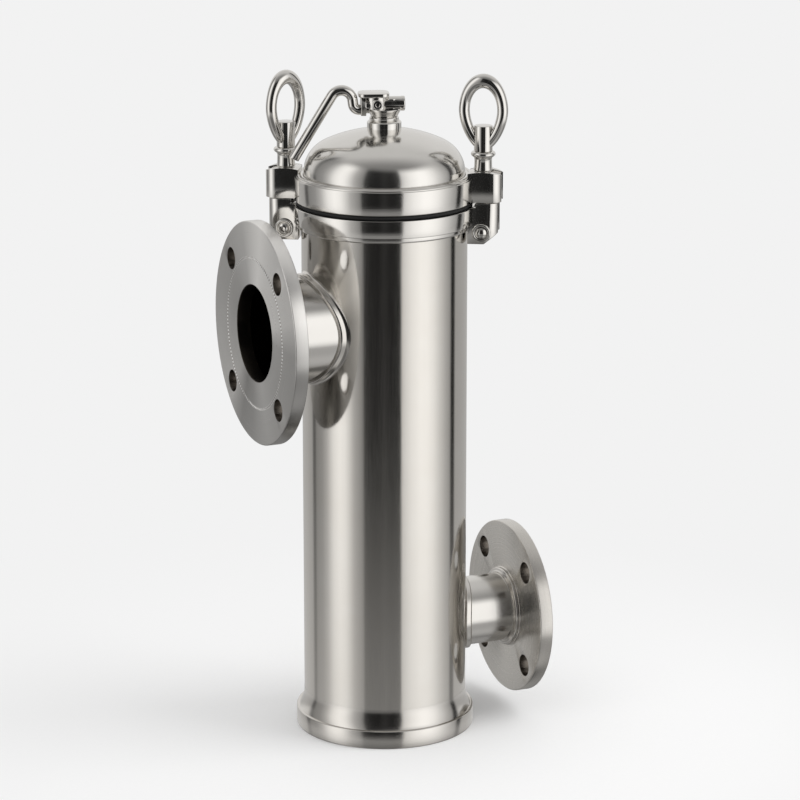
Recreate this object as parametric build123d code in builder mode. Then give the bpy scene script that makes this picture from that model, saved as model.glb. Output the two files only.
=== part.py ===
# Bag filter housing: a flanged pipe body with a swing-bolt lid, a vent cock and an inner basket.
# Millimetres. +Z is up, the origin is the centre of the base's underside, the inlet points to -X
# and the outlet to +X.
from build123d import *
import os
from math import acos, atan2, cos, hypot, radians, sin, sqrt

os.makedirs("parts", exist_ok=True)

# ---- clearances ----
weld_gap = 0.1          # between round faces that are welded together
running_fit = 0.08      # radial, between a shaft and its bore
thrust_gap = 0.1        # between faces that turn or slide over each other
side_play = 0.3         # on each side of a bolt's eye between its cheeks
cut_margin = 1.0        # how far a cutting shape runs past the metal
match = 0.01            # how closely an edge's size has to agree to be picked

# ---- shell and base ----
shell_r = 70.65
shell_wall = 3.4
base_r = 77.5
base_height = 16.0
base_socket = 4.0       # how far the shell sinks into the base
cove_height = 11.0
cove_foot = 2.5         # flat ledge outside the cove
cove_lip = 0.6          # metal at the cove's top
cove_arc_share = 1.05   # the cove's arc radius, as a share of its height
edge_round = 1.0

# ---- body flange, gasket and lid ring ----
face_height = 464.0     # where the body flange meets the gasket
body_flange_r = 77.0
body_flange_height = 15.0
body_step_r = 74.5
body_step_height = 4.5
body_step_bevel = 1.5
body_step_lip = 1.0
rim_chamfer = 0.6       # on the rims of the flanges and the lid ring
body_socket_top = 6.0   # metal between the shell's end and the gasket face
gasket_thickness = 4.2
gasket_r = 75.2
gasket_width = 7.0
lid_ring_r = 76.5
lid_ring_height = 20.0
lid_ring_bore_r = 64.5

# ---- dome ----
dome_r = 68.5
dome_wall = 3.0
dome_height = 40.0
dome_straight = 3.0
knuckle_r = 28.0
inner_bead_r = 1.6
outer_bead_r = 1.4
bead_spacing = 0.6

# ---- inlet and outlet ----
inlet_height = 361.5
inlet_reach = 119.0     # axis of the shell to the flange's face
inlet_pipe_r = 44.45
inlet_pipe_wall = 3.05
inlet_flange_r = 95.25
inlet_flange_thickness = 12.0
inlet_bolt_margin = 19.05   # bolt circle to the flange's rim
outlet_height = 90.0
outlet_reach = 127.0
outlet_pipe_r = 30.15
outlet_pipe_wall = 2.77
outlet_flange_r = 76.2
outlet_flange_thickness = 12.0
outlet_bolt_margin = 15.875
bolt_hole_r = 9.525
bolt_hole_count = 4
saddle_width = 5.0      # weld bead where a pipe meets the shell
saddle_height = 2.6
groove_share = 0.676    # ring groove, as a share of the flange's radius
groove_width = 0.8
groove_depth = 0.4
hub_collar_width = 4.5
hub_collar_height = 5.0
hub_round_share = 0.7   # rounding of the collar, as a share of its width

# ---- swing bolt clamps ----
clamp_angle = -30.0     # plan angle of the right clamp, the left one is opposite
clamp_r = 84.0          # axis of the shell to the bolt's axis
pivot_height = 443.0
pin_r = 4.0
pin_head_r = 8.0
pin_head_height = 4.2
pin_crown_share = 0.8   # rounding of the pin's head, as a share of its height
pin_tail = 1.5          # how far the pin stands past its clip
clip_r = 7.0
clip_thickness = 1.6
bolt_r = 6.0
bolt_eye_r = 8.4
bolt_above_collar = 18.0
bolt_chamfer = 1.0
fork_width = 26.0
fork_gap = 12.6
fork_inner = 72.0       # radial place of the fork's flat inner end
nose_round = 10.0       # rounding of the clamp pieces' outer corners, seen from above
cheek_drop = 10.0       # the bracket's foot below the pivot
cheek_reach = 14.5      # outboard of the bolt's axis
cheek_foot_reach = 2.0
cheek_corner_r = 6.0
lug_reach = 17.0
lug_bottom_gap = 0.5    # the lug ends this far above the lid ring's underside
lug_top = 6.3           # the lug's crown rises this far above the lid ring
lug_wall = 5.4
neck_r = 7.5
neck_height = 11.7
collar_bead_r = 10.4
collar_bead_height = 4.4
sleeve_r = 7.8
sleeve_height = 21.8
sleeve_cap = 3.6        # closed metal above the bolt's bore
eye_wire_r = 5.0
eye_ring_r = 16.2       # centre line of the eye's round top
eye_rise = 44.6         # bottom of the sleeve to the centre of the eye's round top
eye_foot = 6.0          # bottom of the sleeve to the wire's end
eye_foot_spread = 7.4
right_eye_turn = -7.0   # how far each eye nut is turned from its clamp's upright plane
left_eye_turn = 52.0

# ---- vent cock ----
vent_angle = 162.0      # plan angle of the handle
vent_bore_r = 3.0
spot_face_r = 15.2
spot_face_depth = 0.9
boss_r = 14.5
boss_height = 8.0
boss_chamfer = 1.3
boss_spigot_r = 8.0
vent_neck_r = 12.4
vent_neck_height = 3.5
cup_foot_r = 11.6
cup_top_r = 14.6
cup_height = 6.8
head_r = 8.6
head_offset = 6.5       # the head's post stands this far towards the handle
head_height = 10.0
cap_length = 26.0
cap_width = 21.0
cap_thickness = 3.6
cap_offset = 9.0
cap_corner_share = 0.3  # rounding of the cap's corners, as a share of its width
cap_round = 0.8
barrel_r = 6.3
barrel_reach = 17.4
barrel_round = 1.0
leg_r = 5.2
leg_offset = 6.4
gland_r = 8.0
gland_length = 4.5
gland_boss_r = 6.5
gland_reach = 20.0
handle_r = 4.5
handle_entry_drop = 3.2    # the rod enters below the gland's middle
handle_elbow_r = 5.2
handle_elbow_reach = 26.8
handle_crest_r = 9.5
handle_crest_reach = 32.2
handle_crest_rise = 32.8
handle_end_reach = 79.0
handle_end_fall = 43.0
bleed_r = 4.2
bleed_stem_r = 2.4
bleed_length = 5.0
bleed_drop = 5.4
bleed_chamfer = 0.8
bleed_stem_start = 1.0  # the stem's inner end, in front of the cock's middle plane

# ---- basket and bag ----
seat_height = 303.0
seat_thickness = 5.0
seat_bore_r = 57.0
rim_r = 66.0
rim_thickness = 4.0
rim_bore_r = 50.3
rim_recess_r = 55.0
rim_recess_depth = 2.0
basket_r = 56.0
basket_wall = 1.5
basket_length = 243.0
basket_hole_r = 7.5
basket_hole_rows = 6
basket_hole_columns = 8
bag_r = 49.9
bag_wall = 1.6
bag_length = 236.0
bag_round = 18.0
hem_width = 3.4
hem_thickness = 1.4
snap_ring_height = 3.0
bail_r = 60.0
bail_width = 3.6
bail_thickness = 3.0
bail_height = 4.2       # pivot above the rim
bail_pin_r = 1.7
ear_thickness = 2.6
ear_width = 8.0
ear_round = 3.9

# ---- derived places ----
shell_inner_r = shell_r - shell_wall
socket_r = shell_r + weld_gap
shell_bottom = base_height - base_socket
shell_top = face_height - body_socket_top
lid_bottom = face_height + gasket_thickness
lid_top = lid_bottom + lid_ring_height
dome_top = lid_top + dome_height
boss_seat = dome_top - spot_face_depth
lug_crown_height = lid_top + lug_top
crown_r = lug_crown_height - pivot_height
collar_bottom = lug_crown_height + thrust_gap
collar_top = collar_bottom + neck_height + collar_bead_height
sleeve_bottom = collar_top + thrust_gap
slot_inner = fork_inner + lug_wall
seat_top = seat_height + seat_thickness
rim_top = seat_top + rim_thickness


def frame_at(angle, height=0.0):
    """Horizontal plane whose X runs outwards at a plan angle."""
    outwards = (cos(radians(angle)), sin(radians(angle)), 0)
    return Plane(origin=(0, 0, height), x_dir=outwards, z_dir=(0, 0, 1))


def upright_at(angle):
    """Upright plane through the shell's axis: X runs outwards and Y runs up."""
    outwards = (cos(radians(angle)), sin(radians(angle)), 0)
    sideways = (sin(radians(angle)), -cos(radians(angle)), 0)
    return Plane(origin=(0, 0, 0), x_dir=outwards, z_dir=sideways)


def save(part, name):
    """Label a finished piece and write its file."""
    part.label = name
    export_step(part, "parts/" + name + ".step")


# ---- shell ----
inlet_bore_r = inlet_pipe_r - inlet_pipe_wall
outlet_bore_r = outlet_pipe_r - outlet_pipe_wall
inlet_axis = Plane(origin=(0, 0, inlet_height), x_dir=(0, 1, 0), z_dir=(-1, 0, 0))
outlet_axis = Plane(origin=(0, 0, outlet_height), x_dir=(0, 1, 0), z_dir=(1, 0, 0))

with BuildPart() as shell_tube:
    with BuildSketch(Plane.XY.offset(shell_bottom)):
        Circle(shell_r)
        Circle(shell_inner_r, mode=Mode.SUBTRACT)
    extrude(amount=shell_top - shell_bottom)
    for axis_plane, bore_r in ((inlet_axis, inlet_bore_r), (outlet_axis, outlet_bore_r)):
        with BuildSketch(axis_plane):
            Circle(bore_r)
        extrude(amount=shell_r * 2, mode=Mode.SUBTRACT)
save(shell_tube.part, "shell_tube")

# ---- base plate: a solid disc with a socket for the shell and a coved weld around it ----
with BuildPart() as base_plate:
    with BuildSketch(Plane.XZ):
        with BuildLine():
            cove_r = base_r - cove_foot
            cove_top = base_height + cove_height
            Polyline((0, 0), (base_r, 0), (base_r, base_height), (cove_r, base_height))
            lip_r = socket_r + cove_lip
            RadiusArc((cove_r, base_height), (lip_r, cove_top), cove_height * cove_arc_share)
            Polyline((lip_r, cove_top), (socket_r, cove_top), (socket_r, shell_bottom),
                     (0, shell_bottom), (0, 0))
        make_face()
    revolve(axis=Axis.Z)
    rim_edges = base_plate.edges().filter_by(GeomType.CIRCLE).filter_by(
        lambda edge: abs(edge.radius - base_r) < match)
    fillet(rim_edges, edge_round)
save(base_plate.part, "base_plate")


def fork_pockets(bottom, top, inner):
    """The two flat-bottomed notches that the clamp pieces are set into."""
    with BuildPart() as pockets:
        for angle in (clamp_angle, clamp_angle + 180):
            with BuildSketch(frame_at(angle, bottom)):
                with Locations((inner + body_flange_r / 2, 0)):
                    Rectangle(body_flange_r, fork_width)
            extrude(amount=top - bottom)
    return pockets.part


flange_bottom = face_height - body_flange_height
step_bottom = flange_bottom - body_step_height
body_pockets = fork_pockets(step_bottom - cut_margin, face_height + cut_margin, fork_inner)
lid_pockets = fork_pockets(lid_bottom - cut_margin, lid_top + cut_margin, fork_inner)

# ---- body flange ----
with BuildPart() as body_flange:
    with BuildSketch(Plane.XZ):
        with BuildLine():
            Polyline((shell_inner_r, face_height), (body_flange_r, face_height),
                     (body_flange_r, flange_bottom), (body_step_r, flange_bottom),
                     (body_step_r, step_bottom + body_step_bevel),
                     (socket_r + body_step_lip, step_bottom),
                     (socket_r, step_bottom), (socket_r, shell_top),
                     (shell_inner_r, shell_top), (shell_inner_r, face_height))
        make_face()
    revolve(axis=Axis.Z)
    outer_edges = body_flange.edges().filter_by(GeomType.CIRCLE).filter_by(
        lambda edge: abs(edge.radius - body_flange_r) < match)
    chamfer(outer_edges, rim_chamfer)
    add(body_pockets, mode=Mode.SUBTRACT)
save(body_flange.part, "body_flange")

# ---- gasket ----
with BuildPart() as lid_gasket:
    with BuildSketch(Plane.XY.offset(face_height)):
        Circle(gasket_r)
        Circle(gasket_r - gasket_width, mode=Mode.SUBTRACT)
    extrude(amount=gasket_thickness)
save(lid_gasket.part, "lid_gasket")

# ---- nozzles: a pipe with its weld bead, cut to the shell ----


def make_nozzle(axis_plane, pipe_r, bore_r, length):
    """Pipe along a nozzle's axis, with a weld bead that follows the shell."""
    with BuildPart() as bead:
        with BuildSketch(Plane.XY):
            Circle(shell_r + saddle_height)
        extrude(amount=face_height)
        with BuildSketch(axis_plane):
            Circle(pipe_r + saddle_width)
        extrude(amount=length, mode=Mode.INTERSECT)
    with BuildPart() as nozzle:
        with BuildSketch(axis_plane):
            Circle(pipe_r)
        extrude(amount=length)
        add(bead.part)
        with BuildSketch(axis_plane):
            Circle(bore_r)
        extrude(amount=length, mode=Mode.SUBTRACT)
        with BuildSketch(Plane.XY):
            Circle(socket_r)
        extrude(amount=face_height, mode=Mode.SUBTRACT)
    return nozzle.part


inlet_length = inlet_reach - inlet_flange_thickness
outlet_length = outlet_reach - outlet_flange_thickness
save(make_nozzle(inlet_axis, inlet_pipe_r, inlet_bore_r, inlet_length), "inlet_nozzle")
save(make_nozzle(outlet_axis, outlet_pipe_r, outlet_bore_r, outlet_length), "outlet_nozzle")


def make_flange(axis_plane, reach, thickness, flange_r, bore_r, pitch_r):
    """Drilled plate flange with a fine ring groove on its face."""
    groove_r = flange_r * groove_share
    with BuildPart() as flange:
        with BuildSketch(axis_plane.offset(reach - thickness)):
            Circle(flange_r)
            Circle(bore_r, mode=Mode.SUBTRACT)
            with PolarLocations(pitch_r, bolt_hole_count, start_angle=45):
                Circle(bolt_hole_r, mode=Mode.SUBTRACT)
        extrude(amount=thickness)
        rim = flange.edges().filter_by(GeomType.CIRCLE).filter_by(
            lambda edge: abs(edge.radius - flange_r) < match)
        chamfer(rim, rim_chamfer)
        with BuildSketch(axis_plane.offset(reach)):
            Circle(groove_r + groove_width / 2)
            Circle(groove_r - groove_width / 2, mode=Mode.SUBTRACT)
        extrude(amount=-groove_depth, mode=Mode.SUBTRACT)
    return flange.part


save(make_flange(inlet_axis, inlet_reach, inlet_flange_thickness, inlet_flange_r,
                 inlet_bore_r, inlet_flange_r - inlet_bolt_margin), "inlet_flange")
save(make_flange(outlet_axis, outlet_reach, outlet_flange_thickness, outlet_flange_r,
                 outlet_bore_r, outlet_flange_r - outlet_bolt_margin), "outlet_flange")


def make_hub_collar(axis_plane, reach, pipe_r):
    """Rounded weld collar around a pipe, seated on the back of its flange."""
    with BuildPart() as collar:
        with BuildSketch(axis_plane.offset(reach - hub_collar_height)):
            Circle(pipe_r + hub_collar_width)
            Circle(pipe_r + weld_gap, mode=Mode.SUBTRACT)
        extrude(amount=hub_collar_height)
        fillet(collar.faces().sort_by(Axis(axis_plane.origin, axis_plane.z_dir))[0].edges().sort_by(
            SortBy.RADIUS)[-1], hub_collar_width * hub_round_share)
    return collar.part


save(make_hub_collar(inlet_axis, inlet_length, inlet_pipe_r), "inlet_hub_collar")
save(make_hub_collar(outlet_axis, outlet_length, outlet_pipe_r), "outlet_hub_collar")

# ---- lid ring ----
with BuildPart() as lid_ring:
    with BuildSketch(Plane.XY.offset(lid_bottom)):
        Circle(lid_ring_r)
        Circle(lid_ring_bore_r, mode=Mode.SUBTRACT)
    extrude(amount=lid_ring_height)
    lid_rim = lid_ring.edges().filter_by(GeomType.CIRCLE).filter_by(
        lambda edge: abs(edge.radius - lid_ring_r) < match)
    chamfer(lid_rim, rim_chamfer)
    add(lid_pockets, mode=Mode.SUBTRACT)
save(lid_ring.part, "lid_ring")

# ---- dome: a straight skirt, a knuckle arc and a crown arc that meet tangentially ----


def dome_profile(skirt_r, knuckle, rise):
    """Right half of the dome's outline, from the ring to the axis."""
    head_rise = rise - dome_straight
    centre_r = skirt_r - knuckle
    crown = (centre_r ** 2 + head_rise ** 2 - knuckle ** 2) / (2 * (head_rise - knuckle))
    crown_centre = head_rise - crown
    reach = crown - knuckle
    meet = (centre_r + knuckle * centre_r / reach,
            lid_top + dome_straight - knuckle * crown_centre / reach)
    corner = (skirt_r, lid_top + dome_straight)
    Line((skirt_r, lid_top), corner)
    RadiusArc(corner, meet, -knuckle)
    RadiusArc(meet, (0, lid_top + rise), -crown)


with BuildPart() as lid_dome:
    with BuildSketch(Plane.XZ):
        with BuildLine():
            dome_profile(dome_r, knuckle_r, dome_height)
            Polyline((0, dome_top), (0, lid_top), (dome_r, lid_top))
        make_face()
        with BuildLine():
            dome_profile(dome_r - dome_wall, knuckle_r - dome_wall, dome_height - dome_wall)
            Polyline((0, dome_top - dome_wall), (0, lid_top), (dome_r - dome_wall, lid_top))
        make_face(mode=Mode.SUBTRACT)
    revolve(axis=Axis.Z)
    with BuildSketch(Plane.XY.offset(boss_seat)):
        Circle(spot_face_r)
    extrude(amount=dome_wall, mode=Mode.SUBTRACT)
    with BuildSketch(Plane.XY.offset(boss_seat)):
        Circle(boss_spigot_r + weld_gap)
    extrude(amount=-dome_wall * 2, mode=Mode.SUBTRACT)
save(lid_dome.part, "lid_dome")

# ---- double weld bead around the dome's foot ----
inner_centre = dome_r + weld_gap + inner_bead_r
outer_centre = inner_centre + inner_bead_r + bead_spacing + outer_bead_r
outer_inside = outer_centre - outer_bead_r
bead_pockets = fork_pockets(lid_top - cut_margin, lid_top + inner_bead_r + cut_margin,
                            sqrt(outer_inside ** 2 - fork_width ** 2 / 4) - weld_gap)
with BuildPart() as lid_weld_bead:
    with BuildSketch(Plane.XZ):
        with BuildLine():
            CenterArc((outer_centre, lid_top), outer_bead_r, 0, 180)
            Line((outer_inside, lid_top), (outer_centre + outer_bead_r, lid_top))
        make_face()
    revolve(axis=Axis.Z)
    add(bead_pockets, mode=Mode.SUBTRACT)
    with BuildSketch(Plane.XZ):
        with BuildLine():
            CenterArc((inner_centre, lid_top), inner_bead_r, 0, 180)
            Line((inner_centre - inner_bead_r, lid_top), (inner_centre + inner_bead_r, lid_top))
        make_face()
    revolve(axis=Axis.Z)
save(lid_weld_bead.part, "lid_weld_bead")

# ---- clamps ----


def make_nose(angle, bottom, height, reach):
    """Upright block that runs out from the shell and has rounded outer corners."""
    half = fork_width / 2
    outer = clamp_r + reach
    with BuildPart() as nose:
        with BuildSketch(frame_at(angle, bottom)):
            with BuildLine():
                Polyline((outer - nose_round, -half), (fork_inner, -half), (fork_inner, half),
                         (outer - nose_round, half))
                RadiusArc((outer - nose_round, half), (outer, half - nose_round), nose_round)
                Line((outer, half - nose_round), (outer, nose_round - half))
                RadiusArc((outer, nose_round - half), (outer - nose_round, -half), nose_round)
            make_face()
        extrude(amount=height)
    return nose.part


def make_bracket(angle):
    """Forked bracket that carries a swing bolt's pivot pin."""
    upright = upright_at(angle)
    foot = pivot_height - cheek_drop
    outer = clamp_r + cheek_reach
    with BuildPart() as bracket:
        with BuildSketch(upright):
            with BuildLine():
                Polyline((fork_inner, face_height), (outer, face_height), (outer, pivot_height),
                         (clamp_r + cheek_foot_reach, foot), (fork_inner, foot),
                         (fork_inner, face_height))
            make_face()
        extrude(amount=fork_width / 2, both=True)
        corner = bracket.edges().filter_by(Axis(upright.origin, upright.z_dir)).filter_by(
            lambda edge: abs(upright.to_local_coords(edge.center()).X - outer) < match
            and abs(edge.center().Z - pivot_height) < match)
        fillet(corner, cheek_corner_r)
        add(make_nose(angle, foot, face_height - foot, cheek_reach), mode=Mode.INTERSECT)
        with BuildSketch(upright):
            with Locations((clamp_r + body_flange_r / 2 - bolt_eye_r - side_play, pivot_height)):
                Rectangle(body_flange_r, 4 * crown_r)
        extrude(amount=fork_gap / 2 + side_play, both=True, mode=Mode.SUBTRACT)
        with BuildSketch(upright):
            with Locations((clamp_r, pivot_height)):
                Circle(pin_r + running_fit)
        extrude(amount=fork_width, both=True, mode=Mode.SUBTRACT)
    return bracket.part


def make_pin(angle):
    """Pivot pin with a domed, grooved head on the near side and a shank through both cheeks."""
    upright = upright_at(angle)
    half = fork_width / 2
    near = 1 if angle == clamp_angle else -1
    with BuildPart() as pin:
        with BuildSketch(upright.offset(-near * (half + clip_thickness + pin_tail))):
            with Locations((clamp_r, pivot_height)):
                Circle(pin_r)
        extrude(amount=near * (2 * half + clip_thickness + pin_tail))
        with BuildSketch(upright.offset(near * half)):
            with Locations((clamp_r, pivot_height)):
                Circle(pin_head_r)
        extrude(amount=near * pin_head_height)
        crown = pin.faces().sort_by(Axis(upright.origin, upright.z_dir))[-1 if near > 0 else 0]
        fillet(crown.edges(), pin_head_height * pin_crown_share)
    return pin.part


def make_clip(angle):
    """Retaining clip on the plain end of a pivot pin."""
    near = 1 if angle == clamp_angle else -1
    with BuildPart() as clip:
        with BuildSketch(upright_at(angle).offset(-near * fork_width / 2)):
            with Locations((clamp_r, pivot_height)):
                Circle(clip_r)
                Circle(pin_r + running_fit, mode=Mode.SUBTRACT)
        extrude(amount=-near * clip_thickness)
    return clip.part


def make_lug(angle):
    """Forked lug on the lid ring, crowned about the bolt's pivot so that the bolt swings clear."""
    upright = upright_at(angle)
    with BuildPart() as lug:
        add(make_nose(angle, lid_bottom + lug_bottom_gap, crown_r, lug_reach))
        with BuildSketch(upright):
            with Locations((clamp_r, pivot_height)):
                Circle(crown_r)
        extrude(amount=fork_width, both=True, mode=Mode.INTERSECT)
        with BuildSketch(upright):
            with Locations((slot_inner + body_flange_r / 2, pivot_height)):
                Rectangle(body_flange_r, 4 * crown_r)
        extrude(amount=fork_gap / 2 + side_play, both=True, mode=Mode.SUBTRACT)
    return lug.part


def make_bolt(angle):
    """Swing bolt: an eye on the pivot pin with a round shank above it."""
    upright = upright_at(angle)
    shank_top = collar_top + bolt_above_collar
    with BuildPart() as bolt:
        with BuildSketch(upright):
            with Locations((clamp_r, pivot_height)):
                Circle(bolt_eye_r)
        extrude(amount=fork_gap / 2, both=True)
        with BuildSketch(frame_at(angle, pivot_height)):
            with Locations((clamp_r, 0)):
                Circle(bolt_r)
        extrude(amount=shank_top - pivot_height)
        chamfer(bolt.faces().sort_by(Axis.Z)[-1].edges(), bolt_chamfer)
        with BuildSketch(upright):
            with Locations((clamp_r, pivot_height)):
                Circle(pin_r + running_fit)
        extrude(amount=fork_width, both=True, mode=Mode.SUBTRACT)
    return bolt.part


def make_nut_collar(angle):
    """Neck and rounded bead that the eye nut bears on."""
    with BuildPart() as collar:
        with BuildSketch(upright_at(angle)):
            with BuildLine():
                bore = clamp_r + bolt_r + running_fit
                bead_bottom = collar_bottom + neck_height
                bead_middle = bead_bottom + collar_bead_height / 2
                bead_side = clamp_r + collar_bead_r - collar_bead_height / 2
                Polyline((bore, collar_top), (bore, collar_bottom), (clamp_r + neck_r, collar_bottom),
                         (clamp_r + neck_r, bead_bottom), (bead_side, bead_bottom))
                ThreePointArc((bead_side, bead_bottom), (clamp_r + collar_bead_r, bead_middle),
                              (bead_side, collar_top))
                Line((bead_side, collar_top), (bore, collar_top))
            make_face()
        bolt_axis = Axis(frame_at(angle).from_local_coords((clamp_r, 0, 0)), (0, 0, 1))
        revolve(axis=bolt_axis)
    return collar.part


def make_eye_nut(angle, turn):
    """Eye nut: a sleeve with a blind bore and a bent ring whose legs are welded to its sides."""
    nut_axis = frame_at(angle).from_local_coords((clamp_r, 0, 0))
    outwards = (cos(radians(angle + turn)), sin(radians(angle + turn)), 0)
    sideways = (sin(radians(angle + turn)), -cos(radians(angle + turn)), 0)
    upright = Plane(origin=nut_axis, x_dir=outwards, z_dir=sideways)
    centre = sleeve_bottom + eye_rise
    foot = sleeve_bottom + eye_foot
    to_foot = atan2(foot - centre, eye_foot_spread)
    foot_distance = hypot(foot - centre, eye_foot_spread)
    tangent = to_foot + acos(eye_ring_r / foot_distance)
    touch_x = eye_ring_r * cos(tangent)
    touch_y = centre + eye_ring_r * sin(tangent)
    with BuildPart() as nut:
        with BuildLine(upright) as ring_path:
            Line((-eye_foot_spread, foot), (-touch_x, touch_y))
            ThreePointArc((-touch_x, touch_y), (0, centre + eye_ring_r), (touch_x, touch_y))
            Line((touch_x, touch_y), (eye_foot_spread, foot))
        wire = ring_path.wires()[0]
        with BuildSketch(Plane(origin=wire @ 0, z_dir=wire % 0)):
            Circle(eye_wire_r)
        sweep(path=wire)
        with BuildSketch(frame_at(angle, sleeve_bottom)):
            with Locations((clamp_r, 0)):
                Circle(sleeve_r)
        extrude(amount=sleeve_height)
        with BuildSketch(frame_at(angle, sleeve_bottom)):
            with Locations((clamp_r, 0)):
                Circle(bolt_r + running_fit)
        extrude(amount=sleeve_height - sleeve_cap, mode=Mode.SUBTRACT)
    return nut.part


for side, angle, turn in (("right", clamp_angle, right_eye_turn),
                          ("left", clamp_angle + 180, left_eye_turn)):
    save(make_bracket(angle), side + "_hinge_bracket")
    save(make_pin(angle), side + "_pivot_pin")
    save(make_clip(angle), side + "_pin_clip")
    save(make_lug(angle), side + "_lid_lug")
    save(make_bolt(angle), side + "_swing_bolt")
    save(make_nut_collar(angle), side + "_nut_collar")
    save(make_eye_nut(angle, turn), side + "_eye_nut")

# ---- vent cock: a boss on the dome, and a head that turns on it with its handle ----
boss_top = boss_seat + boss_height
neck_top = boss_top + vent_neck_height
cup_bottom = neck_top + thrust_gap
cup_top = cup_bottom + cup_height
head_top = cup_top + head_height
cap_bottom = head_top
cap_top = cap_bottom + cap_thickness
barrel_height = cap_bottom - barrel_r
gland_height = cap_bottom - gland_r
handle_entry = gland_height - handle_entry_drop
vent_upright = upright_at(vent_angle + 180)
vent_side = Plane(origin=(0, 0, 0), x_dir=-vent_upright.z_dir, z_dir=vent_upright.x_dir)

with BuildPart() as vent_boss:
    with BuildSketch(Plane.XY.offset(boss_seat)):
        Circle(boss_r)
    extrude(amount=boss_height)
    chamfer(vent_boss.faces().sort_by(Axis.Z)[-1].edges(), boss_chamfer)
    with BuildSketch(Plane.XY.offset(boss_seat)):
        Circle(boss_spigot_r)
    extrude(amount=-dome_wall)
    with BuildSketch(Plane.XY.offset(boss_seat - dome_wall)):
        Circle(vent_bore_r)
    extrude(amount=dome_wall + boss_height, mode=Mode.SUBTRACT)
save(vent_boss.part, "vent_boss")

with BuildPart() as vent_neck:
    with BuildSketch(Plane.XY.offset(boss_top)):
        Circle(vent_neck_r)
        Circle(vent_bore_r, mode=Mode.SUBTRACT)
    extrude(amount=vent_neck_height)
save(vent_neck.part, "vent_neck")

# In the cock's frame X runs from the handle towards the barrel.
with BuildPart() as vent_head:
    with BuildSketch(Plane.XY.offset(cup_bottom)):
        Circle(cup_foot_r)
    with BuildSketch(Plane.XY.offset(cup_top)):
        Circle(cup_top_r)
    loft()
    with BuildSketch(frame_at(vent_angle + 180, cup_top)):
        with Locations((-head_offset, 0)):
            Circle(head_r)
        with Locations((leg_offset, 0)):
            Circle(leg_r)
    extrude(amount=head_height)
    with BuildSketch(vent_side):
        with Locations((0, barrel_height)):
            Circle(barrel_r)
    extrude(amount=barrel_reach)
    fillet(vent_head.faces().sort_by(Axis(vent_side.origin, vent_side.z_dir))[-1].edges(),
           barrel_round)
    with BuildSketch(vent_side.offset(-head_offset)):
        with Locations((0, gland_height)):
            Circle(gland_boss_r)
    extrude(amount=gland_length - gland_reach + head_offset)
    with BuildSketch(vent_upright):
        with Locations((-head_offset, cap_bottom - bleed_drop)):
            Circle(bleed_stem_r + running_fit)
    extrude(amount=head_r * 2, mode=Mode.SUBTRACT)
save(vent_head.part, "vent_head")

with BuildPart() as vent_cap:
    with BuildSketch(frame_at(vent_angle + 180, cap_bottom)):
        with Locations((-cap_offset, 0)):
            RectangleRounded(cap_length, cap_width, cap_width * cap_corner_share)
    extrude(amount=cap_thickness)
    fillet(vent_cap.faces().sort_by(Axis.Z)[-1].edges(), cap_round)
save(vent_cap.part, "vent_cap")

with BuildPart() as vent_gland:
    with BuildSketch(vent_side.offset(gland_length - gland_reach)):
        with Locations((0, gland_height)):
            RegularPolygon(gland_r, 6, major_radius=False)
    extrude(amount=-gland_length)
save(vent_gland.part, "vent_gland")

with BuildPart() as vent_handle:
    with BuildLine(vent_upright) as handle_path:
        FilletPolyline((-handle_end_reach, handle_entry - handle_end_fall),
                       (-handle_crest_reach, handle_entry + handle_crest_rise),
                       (-handle_elbow_reach, handle_entry),
                       (-gland_reach, handle_entry),
                       radius=(handle_crest_r, handle_elbow_r))
    handle_wire = handle_path.wires()[0]
    with BuildSketch(Plane(origin=handle_wire @ 0, z_dir=handle_wire % 0)):
        Circle(handle_r)
    sweep(path=handle_wire)
save(vent_handle.part, "vent_handle")

# ---- bleed screw in the front of the head ----
with BuildPart() as bleed_screw:
    with BuildSketch(vent_upright.offset(head_r + thrust_gap)):
        with Locations((-head_offset, cap_bottom - bleed_drop)):
            Circle(bleed_r)
    extrude(amount=bleed_length)
    chamfer(bleed_screw.faces().sort_by(Axis(vent_upright.origin, vent_upright.z_dir))[-1].edges(),
            bleed_chamfer)
    with BuildSketch(vent_upright.offset(bleed_stem_start)):
        with Locations((-head_offset, cap_bottom - bleed_drop)):
            Circle(bleed_stem_r)
    extrude(amount=head_r)
save(bleed_screw.part, "bleed_screw")

# ---- basket seat, basket and bag ----
with BuildPart() as basket_seat_ring:
    with BuildSketch(Plane.XY.offset(seat_height)):
        Circle(shell_inner_r - weld_gap)
        Circle(seat_bore_r, mode=Mode.SUBTRACT)
    extrude(amount=seat_thickness)
save(basket_seat_ring.part, "basket_seat_ring")

with BuildPart() as basket_rim:
    with BuildSketch(Plane.XY.offset(seat_top)):
        Circle(rim_r)
        Circle(rim_bore_r, mode=Mode.SUBTRACT)
    extrude(amount=rim_thickness)
    with BuildSketch(Plane.XY.offset(rim_top - rim_recess_depth)):
        Circle(rim_recess_r)
    extrude(amount=rim_recess_depth, mode=Mode.SUBTRACT)
    for side in (-1, 1):
        with BuildSketch(Plane.XZ.offset(side * (bail_r + bail_width / 2 + side_play))):
            with BuildLine():
                pivot_z = rim_top + bail_height
                Polyline((ear_width / 2, pivot_z), (ear_width / 2, rim_top), (-ear_width / 2, rim_top),
                         (-ear_width / 2, pivot_z))
                ThreePointArc((ear_width / 2, pivot_z), (0, pivot_z + ear_round),
                              (-ear_width / 2, pivot_z))
            make_face()
            with Locations((0, pivot_z)):
                Circle(bail_pin_r + running_fit, mode=Mode.SUBTRACT)
        extrude(amount=side * ear_thickness)
save(basket_rim.part, "basket_rim")

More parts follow.
